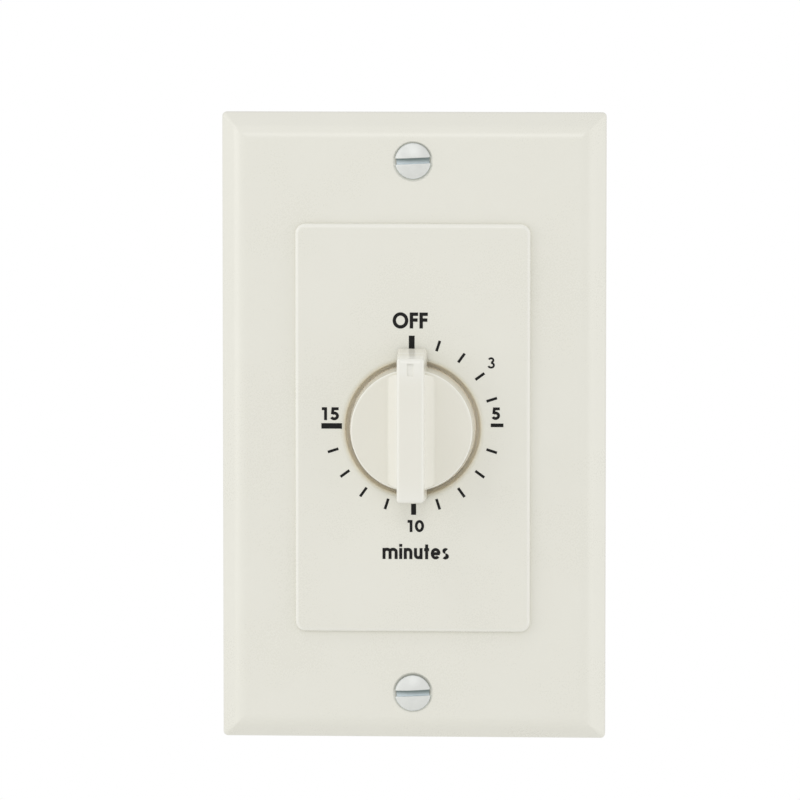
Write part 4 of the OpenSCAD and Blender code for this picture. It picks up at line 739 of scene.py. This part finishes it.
def letter(kind, w):
    """The width of one letter or figure, one unit high, and the lines of its strokes. The pen's width w is
    kept inside the box."""
    h = w / 2
    return {
        "O": lambda: (0.98, arc(0.49, 0.5, 0.49 - h, 0.51 - h, 0, 354, 60)),
        "F": lambda: (0.52, straight(h, 0, h, 1), straight(0, 1 - h, 0.52, 1 - h),
                      straight(0, 0.53, 0.49, 0.53)),
        "0": lambda: (0.76, arc(0.38, 0.5, 0.38 - h, 0.5 - h, 0, 354, 60)),
        "1": lambda: (0.4, straight(0.4 - h, 0, 0.4 - h, 1), straight(0.4 - h, 1 - h, 0, 1 - h)),
        "5": lambda: (0.72, straight(0.7, 1 - h, 0.16, 1 - h), straight(0.16 + h, 1, 0.1 + h, 0.46),
                      arc(0.36, 0.33, 0.36 - h, 0.335 - h, 128, -152, 40)),
        "3": lambda: (0.66, arc(0.33, 0.735, 0.28 - h, 0.265 - h, 160, -88, 30),
                      arc(0.33, 0.29, 0.33 - h, 0.29 - h, 92, -160, 34)),
        "m": lambda: (1.02, straight(h, 0, h, 0.75), straight(0.51, 0, 0.51, 0.5),
                      straight(1.02 - h, 0, 1.02 - h, 0.5),
                      arc(0.255 + h / 2, 0.5, 0.255 - h / 2, 0.26 - h, 180, 0),
                      arc(0.765 - h / 2, 0.5, 0.255 - h / 2, 0.26 - h, 180, 0)),
        "i": lambda: (w, straight(h, 0, h, 0.75), straight(h, 0.83, h, 1.02)),
        "n": lambda: (0.58, straight(h, 0, h, 0.75), straight(0.58 - h, 0, 0.58 - h, 0.47),
                      arc(0.29, 0.47, 0.29 - h, 0.29 - h, 180, 0)),
        "u": lambda: (0.58, straight(0.58 - h, 0, 0.58 - h, 0.75), straight(h, 0.29, h, 0.75),
                      arc(0.29, 0.29, 0.29 - h, 0.29 - h, 180, 360)),
        "t": lambda: (0.34, straight(0.17, 0, 0.17, 1), straight(0, 0.75 - h, 0.34, 0.75 - h)),
        "e": lambda: (0.66, arc(0.33, 0.375, 0.33 - h, 0.385 - h, 0, 318, 40),
                      straight(h, 0.375, 0.66 - h / 2, 0.375)),
        "s": lambda: (0.46, arc(0.23, 0.565, 0.21 - h, 0.195 - h, 35, 266, 26),
                      arc(0.23, 0.195, 0.23 - h, 0.205 - h, 94, -150, 28)),
    }[kind]()


def lettered(text, x, z, height, pen, gap=0.16):
    """Ribbons of a line of letters, centred on (x, z), from strokes one unit high scaled to the height. Each
    further stroke of a letter is a little thicker, so no two faces lie in one plane."""
    drawn = [letter(kind, pen) for kind in text]
    start, shells = -(sum(width for width, *_ in drawn) + gap * (len(drawn) - 1)) / 2, []
    for kind, (width, *lines) in zip(text, drawn):
        for layer, points in enumerate(lines):
            at = np.array([x + start * height, z - height / 2]) + points * height
            shells.append(stroke(at, pen * height, kind in "O0", 0.03 + 0.004 * layer))
        start += width + gap
    return shells


minute_turn, tick_r, tick_centre, mark_centre = 18, 15.15, (-0.03, 0.62), (-0.15, 0.4)
tick_size, mark_size = (2.0, 0.48), {0: (2.35, 1.05), 5: (2.3, 0.65), 10: (2.0, 0.9), 15: (3.75, 1.0)}
mark_r, mark_shift = {0: 15.32, 5: 15.5, 15: 14.55}, {5: (0, 0.25), 10: (0.35, 0)}
shells = []
for minute in range(16):
    way = math.radians(90 - minute_turn * minute)
    out = np.array([math.cos(way), math.sin(way)])
    long, wide = mark_size.get(minute, tick_size)
    middle = mark_r.get(minute, tick_r)
    centre = np.array(tick_centre if minute % 5 else mark_centre) + np.array(mark_shift.get(minute, (0, 0)))
    inner_end, outer_end = (centre + out * (middle + half) for half in (-long / 2, long / 2))
    shells.append(stroke(straight(*inner_end, *outer_end), wide))
for line in (("OFF", -0.42, 19.65, 2.9, 0.21, 0.09), ("3", 14.25, 12.0, 2.05, 0.17),
             ("5", 15.07, 2.78, 2.25, 0.225), ("10", 0.6, -17.8, 2.2, 0.225, 0.2),
             ("15", -14.93, 2.62, 2.35, 0.225, 0.2), ("minutes", 0.58, -22.5, 2.7, 0.205, 0.105)):
    shells += lettered(*line)
scale_print = made("dial_print", shells)
ink, given, out, place = finish_group("printed ink", (0.006, 0.006, 0.006), (0.02, 0.02, 0.019))
blot = noise(ink, place, 2600.0, 3)
put_out(ink, out, blended(ink, blot, given["Dark"], given["Light"]),
        stretched(ink, blot, 0.3, 0.7, 0.45, 0.65), blot)
scale_print.data.materials.append(finish("printed ink", ink, 0.0, 0.2, 2e-6, 0.15))
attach(scale_print, "switch_body")

# The knob: an ivory disc with a bar grip across it, moulded in one. Sloped shoulders carry the bar's sides
# into the disc, both ends reach over the dial, and a notch near the pointer end shows the time.
disc_r, face_r, rim, face, knob_back, disc_t, back_soft = 11.55, 11.05, 0.4, -11.2, -5.0, 1.5, 0.15
hub_r, hub_back, bore_r, bore_end = 4.8, -2.3, 3.225, -10.2
bar_x, bar_top, bar_under, lead, tail, bar_draft = 2.45, -15.8, -7.4, 13.4, 12.75, 0.2
lean, sag, soft, end_r, bar_side = 1.15, 0.3, 0.7, 0.6, 24
lead_fall, tail_fall, fall_run, fall_depth = 0.4, 0.15, 6, 2.5
notch_x, notch_z, notch_deep, notch_at = 0.55, 1.25, 0.25, lead - 1.85
shoulder_w, shoulder_h, ease, shoulder_in, shoulder_foot = 1.95, 1.5, 0.25, bar_x - 0.5, face + 0.4
turn = np.linspace(-np.pi / 2, 0, 9)
disc = [(0, face), (face_r - rim - 0.2, face),
        *zip(face_r - rim + rim * np.cos(turn), face + rim + rim * np.sin(turn)),
        (disc_r, knob_back - back_soft), (disc_r - back_soft, knob_back), (disc_r - disc_t, knob_back),
        (disc_r - disc_t, face + disc_t), (hub_r, face + disc_t), (hub_r, hub_back),
        (bore_r, hub_back), (bore_r, bore_end), (0, bore_end)]
turn = np.linspace(0, np.pi / 2, 8)
rise = np.concatenate([np.linspace(0, 1, 7), np.ones(8)])
bar_y = np.concatenate([np.linspace(bar_under, bar_top + soft, 7), bar_top + soft - soft * np.sin(turn)])
draw = np.concatenate([np.zeros(7), soft - soft * np.cos(turn)])
reach_up, reach_down = lead + lean * (1 - rise) - draw, tail + sag * (1 - rise) - draw
bar_loops = rounded_loops(bar_x + bar_draft * (1 - rise) - draw, (reach_up + reach_down) / 2,
                          np.maximum(end_r - draw, 0.3), bar_y, (reach_up - reach_down) / 2, side=bar_side)
inner = rounded_loops(bar_x - soft - 0.2, (lead + tail) / 2 - soft - 0.2, 0.3, bar_top, (lead - tail) / 2,
                      side=bar_side)
shut = rounded_loops(0.01, 0.01, 0.005, bar_under, (lead - tail) / 2, side=bar_side)
notch = rounded_loops([notch_x + 0.04, notch_x, notch_x, 0.02], [notch_z + 0.04, notch_z, notch_z, 0.02],
                      [0.14, 0.1, 0.1, 0.01], bar_top + np.array([0, 0.05, notch_deep, notch_deep]), notch_at,
                      corner=4, side=4)
shells = [turned_shell(disc, around=160)]
for points, faces in (sheet(np.concatenate([shut, bar_loops, inner])), filled(bar_top, inner[0], [notch[0]]),
                      sheet(notch)):
    crown = lead_fall * np.clip((points[:, 2] - lead + fall_run) / fall_run, 0, 1) ** 2 \
        + tail_fall * np.clip((-points[:, 2] - tail + fall_run) / fall_run, 0, 1) ** 2
    crown *= np.clip((bar_top + fall_depth - points[:, 1]) / fall_depth, 0, 1)
    shells.append((points + crown[:, None] * np.array([0, 1, 0]), faces))
t = np.linspace(-1, 1, 61)[:, None]
slope = np.linspace(0, 1, 17)[None, :]
climb = np.where(slope < ease, slope ** 2 / (2 * ease), slope - ease / 2) / (1 - ease / 2)
for sign in (-1, 1):
    x = np.concatenate([bar_x + shoulder_w * (1 - slope),
                        [[shoulder_in, shoulder_in, bar_x + shoulder_w]]], 1)
    y = np.concatenate([face - shoulder_h * climb,
                        [[face - shoulder_h, shoulder_foot, shoulder_foot]]], 1)
    z = t * np.sqrt((face_r - rim) ** 2 - x ** 2)
    shoulder = np.stack([np.broadcast_to(sign * x, z.shape), np.broadcast_to(y, z.shape), z], -1)
    shells.append(sheet(capped(shoulder)))
knob = made("knob_moulding", shells)
# Painted light: the knob's foot is painted warm in the well, for light that bounces about there, and the
# bar's top and edges and the disc's rim are painted pale, as highlights.
glossy_ivory = finish("glossy ivory", plastic, 0.0, 0.05, 2e-6, Dark=(0.842, 0.825, 0.736),
                      Light=(0.862, 0.845, 0.761), Clouds=55.0, Grain=3800.0, Least=0.17, Most=0.25)
painted_light_by_depth(glossy_ivory, (dial_front - 0.4, dial_front + 0.3, 0, 1), painted_bounce_warmth)
painted_light_by_depth(glossy_ivory, (bar_top - 0.1, bar_top + 0.15, bar_top + 2.2, bar_top + 3.8), painted_edge_highlight)
painted_light_by_depth(glossy_ivory, (face + 0.02, face + 0.12, face + 0.45, face + 0.9), painted_edge_highlight)
knob.data.materials.append(glossy_ivory)
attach(knob, "knob_and_arbor")
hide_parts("knob")
